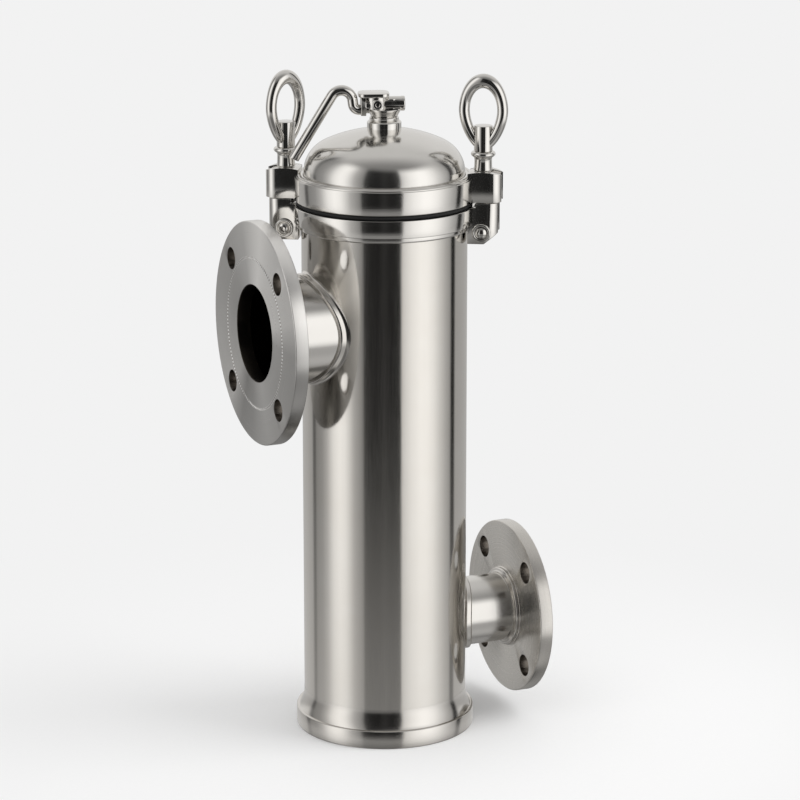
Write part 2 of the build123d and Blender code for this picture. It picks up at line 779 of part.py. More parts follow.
basket_bottom = seat_top - basket_length
with BuildPart() as strainer_basket:
    with BuildSketch(Plane.XY.offset(basket_bottom)):
        Circle(basket_r)
        Circle(basket_r - basket_wall, mode=Mode.SUBTRACT)
    extrude(amount=basket_length)
    with BuildSketch(Plane.XY.offset(basket_bottom)):
        Circle(basket_r)
    extrude(amount=basket_wall)
    row_pitch = basket_length / (basket_hole_rows + 1)
    for row in range(basket_hole_rows):
        height = basket_bottom + row_pitch * (row + 1)
        stagger = 180 / basket_hole_columns * (row % 2)
        for column in range(basket_hole_columns // 2):
            hole_angle = stagger + column * 360 / basket_hole_columns
            with BuildSketch(upright_at(hole_angle)):
                with Locations((0, height)):
                    Circle(basket_hole_r)
            extrude(amount=basket_r * 2, both=True, mode=Mode.SUBTRACT)
save(strainer_basket.part, "strainer_basket")

snap_bottom = rim_top - rim_recess_depth
snap_top = snap_bottom + snap_ring_height
with BuildPart() as bag_snap_ring:
    with BuildSketch(Plane.XY.offset(snap_bottom)):
        Circle(rim_recess_r - weld_gap)
        Circle(bag_r + weld_gap, mode=Mode.SUBTRACT)
    extrude(amount=snap_ring_height)
save(bag_snap_ring.part, "bag_snap_ring")

with BuildPart() as filter_bag:
    bag_bottom = snap_top - bag_length
    with BuildSketch(Plane.XZ):
        with BuildLine():
            Line((0, bag_bottom), (bag_r - bag_round, bag_bottom))
            RadiusArc((bag_r - bag_round, bag_bottom), (bag_r, bag_bottom + bag_round), -bag_round)
            inner_r = bag_r - bag_wall
            inner_round = bag_round - bag_wall
            inner_bottom = bag_bottom + bag_wall
            Polyline((bag_r, bag_bottom + bag_round), (bag_r, snap_top), (bag_r + hem_width, snap_top),
                     (bag_r + hem_width, snap_top + hem_thickness), (inner_r, snap_top + hem_thickness),
                     (inner_r, inner_bottom + inner_round))
            RadiusArc((inner_r, inner_bottom + inner_round), (inner_r - inner_round, inner_bottom),
                      inner_round)
            Polyline((inner_r - inner_round, inner_bottom), (0, inner_bottom), (0, bag_bottom))
        make_face()
    revolve(axis=Axis.Z)
save(filter_bag.part, "filter_bag")

# ---- bail handle: half a ring of flat strip that lies on the rim and lifts on two stub pins ----
with BuildPart() as basket_bail:
    bail_bottom = rim_top + bail_height - bail_thickness / 2
    with BuildSketch(Plane.XY.offset(bail_bottom)):
        Circle(bail_r + bail_width / 2)
        Circle(bail_r - bail_width / 2, mode=Mode.SUBTRACT)
        with Locations((-bail_r - bail_width, 0)):
            Rectangle((bail_r + bail_width) * 2, bail_r * 4, mode=Mode.SUBTRACT)
    extrude(amount=bail_thickness)
    for side in (-1, 1):
        with BuildSketch(Plane.XZ.offset(side * (bail_r - bail_width / 2))):
            with Locations((0, rim_top + bail_height)):
                Circle(bail_pin_r)
        extrude(amount=side * (bail_width + side_play + ear_thickness))
save(basket_bail.part, "basket_bail")
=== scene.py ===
# Bag filter housing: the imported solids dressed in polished, brushed and turned stainless steel.
# Metres, +Z up, origin under the middle of the base. The dictionaries hold millimetres and degrees, but the
# floor, the lamps and the camera's distance and aim are in metres.
from math import atan2, cos, degrees, hypot, pi, radians, sin, sqrt, tan

import bpy
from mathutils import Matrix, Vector


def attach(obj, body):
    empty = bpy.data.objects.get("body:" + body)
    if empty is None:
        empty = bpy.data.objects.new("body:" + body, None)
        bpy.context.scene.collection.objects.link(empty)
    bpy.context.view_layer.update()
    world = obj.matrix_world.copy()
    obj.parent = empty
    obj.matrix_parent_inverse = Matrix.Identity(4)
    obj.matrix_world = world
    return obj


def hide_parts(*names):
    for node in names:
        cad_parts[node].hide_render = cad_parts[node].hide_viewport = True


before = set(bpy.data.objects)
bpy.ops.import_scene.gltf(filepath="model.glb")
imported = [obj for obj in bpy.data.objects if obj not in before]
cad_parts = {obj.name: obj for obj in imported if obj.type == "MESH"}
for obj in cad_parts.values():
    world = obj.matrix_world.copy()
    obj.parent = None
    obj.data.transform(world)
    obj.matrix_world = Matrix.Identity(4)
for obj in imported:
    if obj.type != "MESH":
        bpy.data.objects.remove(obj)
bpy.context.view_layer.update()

mm = 0.001


# hand tools
def putDown():
    if bpy.context.mode != 'OBJECT':
        bpy.ops.object.mode_set(mode='OBJECT')
    bpy.ops.object.select_all(action='DESELECT')


def pickUp(*pieces):
    putDown()
    for piece in pieces:
        piece.select_set(True)
    bpy.context.view_layer.objects.active = pieces[0]


def chooseEdges(piece, test):
    # leaves the piece in edit mode with only the edges selected whose two ends pass the test
    pickUp(piece)
    bpy.ops.object.mode_set(mode='EDIT')
    bpy.ops.mesh.select_mode(type='EDGE')
    bpy.ops.mesh.select_all(action='DESELECT')
    bpy.ops.object.mode_set(mode='OBJECT')
    for edge in piece.data.edges:
        edge.select = test(*[piece.data.vertices[i].co / mm for i in edge.vertices])
    bpy.ops.object.mode_set(mode='EDIT')


def drawLine(name, outline):
    # a chain of edges through points of (radius, height), drawn one by one and left in edit mode
    putDown()
    bpy.ops.mesh.primitive_plane_add(size=mm, location=(0, 0, 0))
    piece = bpy.context.object
    piece.name = piece.data.name = name
    bpy.ops.object.mode_set(mode='EDIT')
    bpy.ops.mesh.select_mode(type='VERT')
    bpy.ops.mesh.select_all(action='SELECT')
    bpy.ops.mesh.merge(type='CENTER')
    here = outline[0]
    bpy.ops.transform.translate(value=(here[0] * mm, 0, here[1] * mm))
    for spot in outline[1:]:
        step = ((spot[0] - here[0]) * mm, 0, (spot[1] - here[1]) * mm)
        bpy.ops.mesh.extrude_vertices_move(TRANSFORM_OT_translate={"value": step})
        here = spot
    return piece


def lathe(name, outline, steps):
    # spins a closed outline round the Z axis
    piece = drawLine(name, outline + outline[:1])
    bpy.ops.mesh.select_all(action='SELECT')
    bpy.ops.mesh.spin(steps=steps, angle=2 * pi, center=(0, 0, 0), axis=(0, 0, 1))
    bpy.ops.mesh.select_all(action='SELECT')
    bpy.ops.mesh.remove_doubles(threshold=2e-6)
    bpy.ops.mesh.dissolve_degenerate(threshold=1e-7)
    bpy.ops.mesh.normals_make_consistent(inside=False)
    bpy.ops.object.mode_set(mode='OBJECT')
    return piece


def bend(x, z, r, start, end, count):
    # points along an arc of an outline, both ends included, angles in degrees from +X
    turns = [radians(start + (end - start) * i / count) for i in range(count + 1)]
    return [(x + r * cos(t), z + r * sin(t)) for t in turns]


def rim(r, bottom, top, edge):
    # the outer side of a ring, from its rounded top edge down to its rounded bottom edge
    return bend(r - edge, top - edge, edge, 90, 0, 4) + bend(r - edge, bottom + edge, edge, 0, -90, 4)


def block(name, low, high):
    putDown()
    size = [(b - a) * mm for a, b in zip(low, high)]
    middle = [(a + b) / 2 * mm for a, b in zip(low, high)]
    bpy.ops.mesh.primitive_cube_add(size=1, location=middle, scale=size)
    piece = bpy.context.object
    piece.name = piece.data.name = name
    bpy.ops.object.transform_apply(location=True, rotation=True, scale=True)
    return piece


def rod(name, r, length, spot=(0, 0, 0), turned=(0, 0, 0), sides=96):
    # a round bar from the spot along its own Z
    putDown()
    bpy.ops.mesh.primitive_cylinder_add(vertices=sides, radius=r * mm, depth=length * mm,
                                        location=(0, 0, length * mm / 2))
    piece = bpy.context.object
    piece.name = piece.data.name = name
    bpy.ops.object.transform_apply(location=True, rotation=True, scale=True)
    return move(piece, spot, turned)


def move(piece, spot=(0, 0, 0), turned=(0, 0, 0)):
    # turns and shifts a piece and puts the move into its mesh
    pickUp(piece)
    piece.rotation_euler = [radians(a) for a in turned]
    piece.location = [c * mm for c in spot]
    bpy.ops.object.transform_apply(location=True, rotation=True, scale=True)
    return piece


def modify(piece, kind, **settings):
    pickUp(piece)
    change = piece.modifiers.new(kind.lower(), kind)
    for name, value in settings.items():
        setattr(change, name, value)
    bpy.ops.object.modifier_apply(modifier=change.name)
    return piece


def cut(piece, *tools, way='DIFFERENCE'):
    for tool in tools:
        modify(piece, 'BOOLEAN', object=tool, operation=way, solver='EXACT')
        bpy.data.objects.remove(tool)
    return piece


def ease(piece, width, segments=3, angle=40):
    # small rounding along every edge sharper than the angle
    return modify(piece, 'BEVEL', width=width * mm, segments=segments, limit_method='ANGLE',
                  angle_limit=radians(angle), use_clamp_overlap=True)


def weld(name, *pieces):
    pickUp(*pieces)
    bpy.ops.object.join()
    pieces[0].name = pieces[0].data.name = name
    return pieces[0]


def twin(piece, name):
    pickUp(piece)
    bpy.ops.object.duplicate(linked=False)
    copy = bpy.context.object
    copy.name = copy.data.name = name
    return copy


def bentRod(name, spots, r, sizes=None):
    # a round bar along points, with flat closed ends, swelled by the sizes
    putDown()
    bpy.ops.curve.primitive_bezier_curve_add(location=(0, 0, 0))
    shape = bpy.context.object.data
    shape.splines.clear()
    path = shape.splines.new('POLY')
    path.points.add(len(spots) - 1)
    for i, point in enumerate(path.points):
        point.co = (*[c * mm for c in spots[i]], 1)
        point.radius = sizes[i] if sizes else 1
    shape.dimensions = '3D'
    shape.bevel_depth = r * mm
    shape.bevel_resolution = 12
    shape.use_fill_caps = True
    bpy.ops.object.convert(target='MESH')
    piece = bpy.context.object
    piece.name = piece.data.name = name
    pickUp(piece)
    bpy.ops.object.mode_set(mode='EDIT')
    bpy.ops.mesh.select_all(action='SELECT')
    bpy.ops.mesh.remove_doubles(threshold=1e-6)
    bpy.ops.mesh.normals_make_consistent(inside=False)
    bpy.ops.object.mode_set(mode='OBJECT')
    return piece


def dress(piece, body, slot, finish, *nodes, angle=32):
    # smooth shading, finish, the body it rides on and the solids it stands for
    pickUp(piece)
    bpy.ops.object.shade_smooth_by_angle(angle=radians(angle))
    piece.data.materials.clear()
    piece.data.materials.append(finish)
    for face in piece.data.polygons:
        face.material_index = 0
    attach(piece, body)
    if nodes:
        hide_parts(*nodes)
    return piece


# finishes
def linear(code):
    # sRGB hex to the linear colour that a socket takes
    parts = [int(code[i:i + 2], 16) / 255 for i in (1, 3, 5)]
    return tuple(c / 12.92 if c <= 0.04045 else ((c + 0.055) / 1.055) ** 2.4 for c in parts) + (1,)


def addNode(tree, kind, values=None, links=None, **settings):
    node = tree.nodes.new(kind)
    for name, value in settings.items():
        setattr(node, name, value)
    for socket, value in (values or {}).items():
        node.inputs[socket].default_value = value
    for socket, source in (links or {}).items():
        tree.links.new(source, node.inputs[socket])
    return node


def newFinish(name):
    finish = bpy.data.materials.new(name)
    finish.use_nodes = True
    tree = finish.node_tree
    skin = tree.nodes['Principled BSDF']
    place = addNode(tree, 'ShaderNodeTexCoord').outputs['Object']
    return finish, tree, skin, place


def fillRamp(ramp, stops):
    # one colour for each angle, from -180 to 180 degrees
    marks = ramp.color_ramp.elements
    marks.remove(marks[1])
    marks[0].position, marks[0].color = 0, stops[0][1]
    for angle, colour in stops[1:]:
        marks.new((angle + 180) / 360).color = colour


def coat(tree, skin, colour, gloss, relief, metal=1):
    tree.links.new(colour, skin.inputs['Base Color'])
    if isinstance(gloss, float):
        skin.inputs['Roughness'].default_value = gloss
    else:
        tree.links.new(gloss, skin.inputs['Roughness'])
    tree.links.new(relief, skin.inputs['Normal'])
    skin.inputs['Metallic'].default_value = metal


steelColours = {"light": '#E2E0DD', "mid": '#DAD8D4', "warm": '#D2CEC8', "dark": '#ABA69F', "forged": '#4A453F',
                "drilled": '#77716A'}
light, mid, warm, dark, forged, drilled = steelColours.values()


def polishedTube():
    # drawn 304 tube, belt polished lengthwise: clear upright reflections that smear a little, faint drag lines
    finish, tree, skin, place = newFinish('polishedStainlessTube')
    stretched = addNode(tree, 'ShaderNodeMapping', {'Scale': (1, 1, 0.02)}, {'Vector': place})
    drag = addNode(tree, 'ShaderNodeTexNoise', {'Scale': 1600, 'Detail': 3}, {'Vector': stretched.outputs[0]})
    cloud = addNode(tree, 'ShaderNodeTexNoise', {'Scale': 22, 'Detail': 4, 'Roughness': 0.6},
                    {'Vector': place})
    tone = addNode(tree, 'ShaderNodeMix', {6: linear(warm), 7: linear(mid)}, {0: cloud.outputs[0]},
                   data_type='RGBA')
    gloss = addNode(tree, 'ShaderNodeMapRange', {'From Min': 0.3, 'From Max': 0.7, 'To Min': 0.085, 'To Max': 0.14},
                    {'Value': drag.outputs[0]})
    scratch = addNode(tree, 'ShaderNodeBump', {'Strength': 0.03, 'Distance': 0.1 * mm}, {'Height': drag.outputs[0]})
    coat(tree, skin, tone.outputs[2], gloss.outputs[0], scratch.outputs[0])
    return finish


def turnedSteel(name, colours, gloss, lineSize, depth, axis='Z', z=0, bore=0, face=None):
    # lathe-turned and brushed 304: fine lines that run round the axis, on the rim and on the face alike
    finish, tree, skin, place = newFinish(name)
    centred = addNode(tree, 'ShaderNodeMapping', {'Location': (0, 0, -z * mm)}, {'Vector': place})
    parts = addNode(tree, 'ShaderNodeSeparateXYZ', links={0: centred.outputs[0]})
    across, up, along = (parts.outputs[i] for i in ((0, 1, 2) if axis == 'Z' else (1, 2, 0)))
    flat = addNode(tree, 'ShaderNodeCombineXYZ', links={0: across, 1: up})
    radius = addNode(tree, 'ShaderNodeVectorMath', links={0: flat.outputs[0]}, operation='LENGTH').outputs['Value']
    spin = addNode(tree, 'ShaderNodeMath', links={0: up, 1: across}, operation='ARCTAN2').outputs[0]
    spinSlow = addNode(tree, 'ShaderNodeMath', {1: 0.0004}, {0: spin}, operation='MULTIPLY')
    wrapped = addNode(tree, 'ShaderNodeCombineXYZ', links={0: radius, 1: along, 2: spinSlow.outputs[0]})
    lines = addNode(tree, 'ShaderNodeTexNoise', {'Scale': 0.5 / (lineSize * mm), 'Detail': 4, 'Roughness': 0.65},
                    {'Vector': wrapped.outputs[0]})
    grain = addNode(tree, 'ShaderNodeTexNoise', {'Scale': 900, 'Detail': 3}, {'Vector': place})
    cloud = addNode(tree, 'ShaderNodeTexNoise', {'Scale': 16, 'Detail': 3}, {'Vector': place})
    both = addNode(tree, 'ShaderNodeMix', {0: 0.3}, {2: lines.outputs[0], 3: grain.outputs[0]}).outputs[0]
    tone = addNode(tree, 'ShaderNodeMix', {6: linear(colours[0]), 7: linear(colours[1])},
                   {0: cloud.outputs[0]}, data_type='RGBA')
    shine = addNode(tree, 'ShaderNodeMapRange',
                    {'From Min': 0.3, 'From Max': 0.7, 'To Min': gloss[0], 'To Max': gloss[1]}, {'Value': both})
    colour, height = tone.outputs[2], both
    if face and face["fan"]:   # painted highlight and painted shade: bright and dull fan-shaped bands, set by angle round the face, multiplied into its colour
        sweep = addNode(tree, 'ShaderNodeMapRange', {'From Min': -pi, 'From Max': pi}, {'Value': spin})
        bands = addNode(tree, 'ShaderNodeValToRGB', links={0: sweep.outputs[0]})
        fillRamp(bands, [(angle, linear(code)) for angle, code in face["fan"]])
        colour = addNode(tree, 'ShaderNodeMix', {0: 1.0}, {6: colour, 7: bands.outputs[0]}, data_type='RGBA',
                         blend_type='MULTIPLY').outputs[2]
    if bore:   # the bore and a thin edge round it are coloured a dark grey-brown
        inside = addNode(tree, 'ShaderNodeMath', {1: bore * mm}, {0: radius}, operation='LESS_THAN')
        colour = addNode(tree, 'ShaderNodeMix', {7: linear(forged)}, {0: inside.outputs[0], 6: colour},
                         data_type='RGBA').outputs[2]
    if face:
        # drilled walls are duller than the face: all four holes are folded into one quarter
        folded = []
        for share in (across, up):
            size = addNode(tree, 'ShaderNodeMath', links={0: share}, operation='ABSOLUTE')
            folded.append(addNode(tree, 'ShaderNodeMath', {1: face["pitch"] * cos(pi / 4) * mm},
                                  {0: size.outputs[0]}, operation='SUBTRACT').outputs[0])
        gap = addNode(tree, 'ShaderNodeCombineXYZ', links={0: folded[0], 1: folded[1]})
        away = addNode(tree, 'ShaderNodeVectorMath', links={0: gap.outputs[0]}, operation='LENGTH')
        inHole = addNode(tree, 'ShaderNodeMath', {1: (face["hole"] + 0.1) * mm}, {0: away.outputs['Value']},
                         operation='LESS_THAN')
        colour = addNode(tree, 'ShaderNodeMix', {7: linear(drilled)}, {0: inHole.outputs[0], 6: colour},
                         data_type='RGBA').outputs[2]
        # a fine row of bright centre marks pressed round the sealing face, drawn a little coarse so that it shows
        inBand = addNode(tree, 'ShaderNodeMath', {1: face["markR"] * mm, 2: face["markWide"] / 2 * mm},
                         {0: radius}, operation='COMPARE')
        outwards = addNode(tree, 'ShaderNodeMath', links={0: along}, operation='ABSOLUTE')
        onFace = addNode(tree, 'ShaderNodeMath', {1: face["reach"] * mm, 2: 1.0 * mm}, {0: outwards.outputs[0]},
                         operation='COMPARE')
        inBand = addNode(tree, 'ShaderNodeMath', links={0: inBand.outputs[0], 1: onFace.outputs[0]},
                         operation='MULTIPLY')
        beat = addNode(tree, 'ShaderNodeMath', {1: face["markR"] / face["markPitch"]}, {0: spin},
                       operation='MULTIPLY')
        share = addNode(tree, 'ShaderNodeMath', links={0: beat.outputs[0]}, operation='FRACT')
        dash = addNode(tree, 'ShaderNodeMath', {1: 0.55}, {0: share.outputs[0]}, operation='LESS_THAN')
        mark = addNode(tree, 'ShaderNodeMath', links={0: inBand.outputs[0], 1: dash.outputs[0]},
                       operation='MULTIPLY')
        beads = addNode(tree, 'ShaderNodeMix', {6: linear('#A09B94'), 7: linear('#FFFFFF')},
                        {0: dash.outputs[0]}, data_type='RGBA')
        colour = addNode(tree, 'ShaderNodeMix', links={0: inBand.outputs[0], 6: colour, 7: beads.outputs[2]},
                         data_type='RGBA').outputs[2]
        lifted = addNode(tree, 'ShaderNodeMath', {1: 5.0}, {0: mark.outputs[0]}, operation='MULTIPLY')
        height = addNode(tree, 'ShaderNodeMath', links={0: lifted.outputs[0], 1: height}, operation='ADD').outputs[0]
        # the turning lines spread the light across themselves, so highlights fan out from the middle
        skin.inputs['Anisotropic'].default_value = 0.85
        skin.inputs['Anisotropic Rotation'].default_value = 0.25
        roundTurn = addNode(tree, 'ShaderNodeTangent', direction_type='RADIAL', axis=axis)
        tree.links.new(roundTurn.outputs[0], skin.inputs['Tangent'])
    relief = addNode(tree, 'ShaderNodeBump', {'Strength': depth, 'Distance': 0.2 * mm}, {'Height': height})
    coat(tree, skin, colour, shine.outputs[0], relief.outputs[0])
    return finish


def buffedSteel(name, colours, gloss, wobble, scratches):
    # cast or bent 304, ground and then buffed on a mop: bright, with soft waves and hairline wheel marks
    finish, tree, skin, place = newFinish(name)
    waves = addNode(tree, 'ShaderNodeTexNoise', {'Scale': 70, 'Detail': 2}, {'Vector': place})
    marks = addNode(tree, 'ShaderNodeTexNoise', {'Scale': 1400, 'Detail': 4, 'Distortion': 1.5}, {'Vector': place})
    cloud = addNode(tree, 'ShaderNodeTexNoise', {'Scale': 45, 'Detail': 4}, {'Vector': place})
    tone = addNode(tree, 'ShaderNodeMix', {6: linear(colours[0]), 7: linear(colours[1])},
                   {0: cloud.outputs[0]}, data_type='RGBA')
    shine = addNode(tree, 'ShaderNodeMapRange',
                    {'From Min': 0.35, 'From Max': 0.7, 'To Min': gloss[0], 'To Max': gloss[1]},
                    {'Value': marks.outputs[0]})
    soft = addNode(tree, 'ShaderNodeBump', {'Strength': wobble, 'Distance': 0.6 * mm}, {'Height': waves.outputs[0]})
    hair = addNode(tree, 'ShaderNodeBump', {'Strength': scratches, 'Distance': 0.1 * mm},
                   {'Height': marks.outputs[0], 'Normal': soft.outputs[0]})
    coat(tree, skin, tone.outputs[2], shine.outputs[0], hair.outputs[0])
    return finish


def mouldedRubber():
    # compression-moulded nitrile: near black, dull, with a fine pebble from the mould
    finish, tree, skin, place = newFinish('mouldedNitrileRubber')
    pebble = addNode(tree, 'ShaderNodeTexNoise', {'Scale': 1500, 'Detail': 3}, {'Vector': place})
    tone = addNode(tree, 'ShaderNodeMix', {6: linear('#0C0C0D'), 7: linear('#1B1B1C')},
                   {0: pebble.outputs[0]}, data_type='RGBA')
    relief = addNode(tree, 'ShaderNodeBump', {'Strength': 0.25, 'Distance': 0.1 * mm}, {'Height': pebble.outputs[0]})
    coat(tree, skin, tone.outputs[2], 0.62, relief.outputs[0], metal=0)
    return finish


def needledFelt():
    # needle-punched polyester felt, singed on the outside: off-white, matt, with short tangled fibres
    finish, tree, skin, place = newFinish('needledPolyesterFelt')
    fibres = addNode(tree, 'ShaderNodeTexNoise', {'Scale': 1300, 'Detail': 6, 'Distortion': 2.5}, {'Vector': place})
    cloud = addNode(tree, 'ShaderNodeTexNoise', {'Scale': 60, 'Detail': 4}, {'Vector': place})
    blend = addNode(tree, 'ShaderNodeMix', {0: 0.45}, {2: fibres.outputs[0], 3: cloud.outputs[0]})
    tone = addNode(tree, 'ShaderNodeMix', {6: linear('#DAD6CB'), 7: linear('#F2EFE7')},
                   {0: blend.outputs[0]}, data_type='RGBA')
    relief = addNode(tree, 'ShaderNodeBump', {'Strength': 0.5, 'Distance': 0.4 * mm}, {'Height': blend.outputs[0]})
    coat(tree, skin, tone.outputs[2], 0.92, relief.outputs[0], metal=0)
    skin.inputs['Sheen Weight'].default_value = 0.3
    return finish


tubeFinish = polishedTube()
ringFinish = turnedSteel('brushedStainlessRing', (mid, light), (0.07, 0.13), 0.25, 0.14)
baseFinish = turnedSteel('satinStainlessBase', (warm, light), (0.10, 0.18), 0.25, 0.10)
domeFinish = buffedSteel('buffedStainlessDome', (mid, light), (0.12, 0.18), 0.04, 0.02)
castFinish = buffedSteel('buffedCastStainless', (mid, light), (0.04, 0.08), 0.10, 0.03)
blockFinish = buffedSteel('groundStainlessBlock', (mid, light), (0.08, 0.14), 0.05, 0.03)
weldFinish = buffedSteel('dressedWeldBead', (warm, light), (0.09, 0.18), 0.30, 0.05)
dullFinish = buffedSteel('pickledStainlessSheet', (dark, warm), (0.30, 0.42), 0.08, 0.05)
rubberFinish = mouldedRubber()
feltFinish = needledFelt()
print('finishes made:', len(bpy.data.materials))

# shell and base
shell = {"r": 70.65, "inner": 67.25, "bottom": 12.0, "top": 458.0, "rows": 24, "inletZ": 361.5, "inletBore": 41.4,
         "outletZ": 90.0, "outletBore": 27.38}
rowTall = (shell["top"] - shell["bottom"]) / shell["rows"]
shellTube = lathe('shellTube', [(shell["r"], shell["bottom"] + rowTall * i) for i in range(shell["rows"] + 1)]
                  + [(shell["inner"], shell["top"]), (shell["inner"], shell["bottom"])], 256)
cut(shellTube, rod('inletCutter', shell["inletBore"], 90, (0, 0, shell["inletZ"]), (0, -90, 0)),
    rod('outletCutter', shell["outletBore"], 90, (0, 0, shell["outletZ"]), (0, 90, 0)))
dress(shellTube, 'housing', 'satin_shell', tubeFinish, 'shell_tube')

base = {"r": 77.5, "height": 16.0, "ledge": 2.6, "coveTop": 33.0, "coveCurve": 2.6, "coveSteps": 14,
        "stepGrowth": 1.3, "edge": 1.2, "seat": 70.7, "floor": 12.0}
ledgeR = base["r"] - base["ledge"]
edgeR = base["r"] - base["edge"]
cove = []
for i in range(base["coveSteps"] + 1):
    share = (i / base["coveSteps"]) ** base["stepGrowth"]
    cove.append((base["seat"] + (ledgeR - base["seat"]) * (1 - share) ** base["coveCurve"],
                 base["height"] + (base["coveTop"] - base["height"]) * share))
basePlate = lathe('basePlate', [(0, 0)] + bend(edgeR, base["edge"], base["edge"], -90, 0, 5)
                  + bend(edgeR, base["height"] - base["edge"], base["edge"], 0, 90, 5)
                  + cove + [(base["seat"], base["floor"]), (0, base["floor"])], 224)
dress(basePlate, 'housing', 'brushed_ring', baseFinish, 'base_plate', angle=50)

# body flange, gasket, lid ring, dome
flange = {"r": 77.0, "bottom": 449.0, "top": 464.0, "bore": 67.25, "edge": 0.6, "stepR": 74.5, "stepBottom": 444.5,
          "stepRound": 1.6, "seat": 70.75, "seatTop": 458.0}
step, low, curve, seatTop = flange["stepR"], flange["stepBottom"], flange["stepRound"], flange["seatTop"]
bodyFlange = lathe('bodyFlange', [(flange["bore"], flange["top"])]
                   + rim(flange["r"], flange["bottom"], flange["top"], flange["edge"]) + [(step, flange["bottom"])]
                   + bend(step - curve, low + curve, curve, 0, -90, 6)
                   + [(flange["seat"], low), (flange["seat"], seatTop), (flange["bore"], seatTop)], 224)
dress(bodyFlange, 'housing', 'brushed_ring', ringFinish, 'body_flange', angle=50)

gasket = {"r": 75.2, "inner": 68.2, "bottom": 464.0, "top": 468.2, "lip": 0.5, "bulge": 2.1}
low, high, lip, bulge = gasket["bottom"], gasket["top"], gasket["r"] - gasket["lip"], gasket["bulge"]
lidGasket = lathe('lidGasket', [(gasket["inner"], high), (lip, high)]
                  + bend(gasket["r"] - bulge, (low + high) / 2, bulge, 70, -70, 8)
                  + [(lip, low), (gasket["inner"], low)], 192)
dress(lidGasket, 'housing', 'black_rubber', rubberFinish, 'lid_gasket', angle=50)

ring = {"r": 76.5, "bottom": 468.2, "top": 488.2, "bore": 64.5, "edge": 0.7}
lidRing = lathe('lidRing', [(ring["bore"], ring["top"])] + rim(ring["r"], ring["bottom"], ring["top"], ring["edge"])
                + [(ring["bore"], ring["bottom"])], 224)
dress(lidRing, 'lid', 'brushed_ring', ringFinish, 'lid_ring', angle=50)

dome = {"r": 68.5, "wall": 3.0, "height": 40.0, "straight": 3.0, "knuckle": 28.0, "foot": 488.2}


def domeLine(r, knuckle, height):
    # straight skirt, knuckle arc and crown arc that meet tangentially, from the foot to the top
    rise = height - dome["straight"]
    kneeR = r - knuckle
    crown = (kneeR ** 2 + rise ** 2 - knuckle ** 2) / (2 * (rise - knuckle))
    centreZ = dome["foot"] + dome["straight"] + rise - crown
    kneeZ = dome["foot"] + dome["straight"]
    meet = degrees(atan2(kneeZ - centreZ, kneeR))
    return ([(r, dome["foot"])] + bend(kneeR, kneeZ, knuckle, 0, meet, 22)
            + bend(0, centreZ, crown, meet, 90, 22)[1:])


outer = domeLine(dome["r"], dome["knuckle"], dome["height"])
inner = domeLine(dome["r"] - dome["wall"], dome["knuckle"] - dome["wall"], dome["height"] - dome["wall"])
lidDome = lathe('lidDome', outer + inner[::-1], 224)
dress(lidDome, 'lid', 'polished_steel', domeFinish, 'lid_dome', angle=60)

beads = {"innerR": 70.2, "inner": 1.7, "outerR": 73.8, "outer": 1.4}
domeWeld = weld('domeWeld', *[lathe('bead', bend(beads[side + 'R'], dome["foot"], beads[side], 0, 180, 8), 224)
                              for side in ('inner', 'outer')])
dress(domeWeld, 'lid', 'polished_steel', castFinish, 'lid_weld_bead', angle=60)
print('shell, base, rings and dome made')

# nozzles
nozzles = {
    "inlet": {"turn": -90, "z": 361.5, "reach": 119.0, "pipe": 44.45, "bore": 41.4, "rim": 95.25, "pitch": 76.2,
              "colours": ('#EEECE9', '#FAF9F7'), "gloss": (0.26, 0.36), "depth": 0.12, "pipeGloss": (0.12, 0.19),
              "markR": 64.4, "markWide": 2.2,
              # the angle list below paints bright and dull sectors into the inlet face's colour: painted highlight and
              # painted shade
              "fan": ((-180, '#CCCCCC'), (-110, '#C4C4C4'), (-85, '#A2A2A2'), (-68, '#A6A6A6'), (-48, '#EAEAEA'),
                      (-10, '#DCDCDC'), (45, '#C6C6C6'), (72, '#CACACA'), (100, '#FFFFFF'), (162, '#FFFFFF'),
                      (180, '#CCCCCC'))},
    "outlet": {"turn": 90, "z": 90.0, "reach": 127.0, "pipe": 30.15, "bore": 27.38, "rim": 76.2, "pitch": 60.325,
               "colours": (warm, mid), "gloss": (0.24, 0.34), "depth": 0.07, "pipeGloss": (0.14, 0.22),
               "markR": 51.5, "markWide": 1.8, "fan": ()},
}
shared = {"thick": 12.0, "edge": 1.0, "hole": 9.525, "holeEdge": 0.5, "boreEdge": 0.6, "boreToneReach": 0.5,
          "markPitch": 3.1, "groove": 0.676, "grooveWide": 0.8, "grooveDeep": 0.35, "pipeStart": 40.0,
          "pipeRows": 60.0, "beadTall": 2.6, "beadLong": 6.4, "hubWide": 4.5, "hubTall": 5.0}
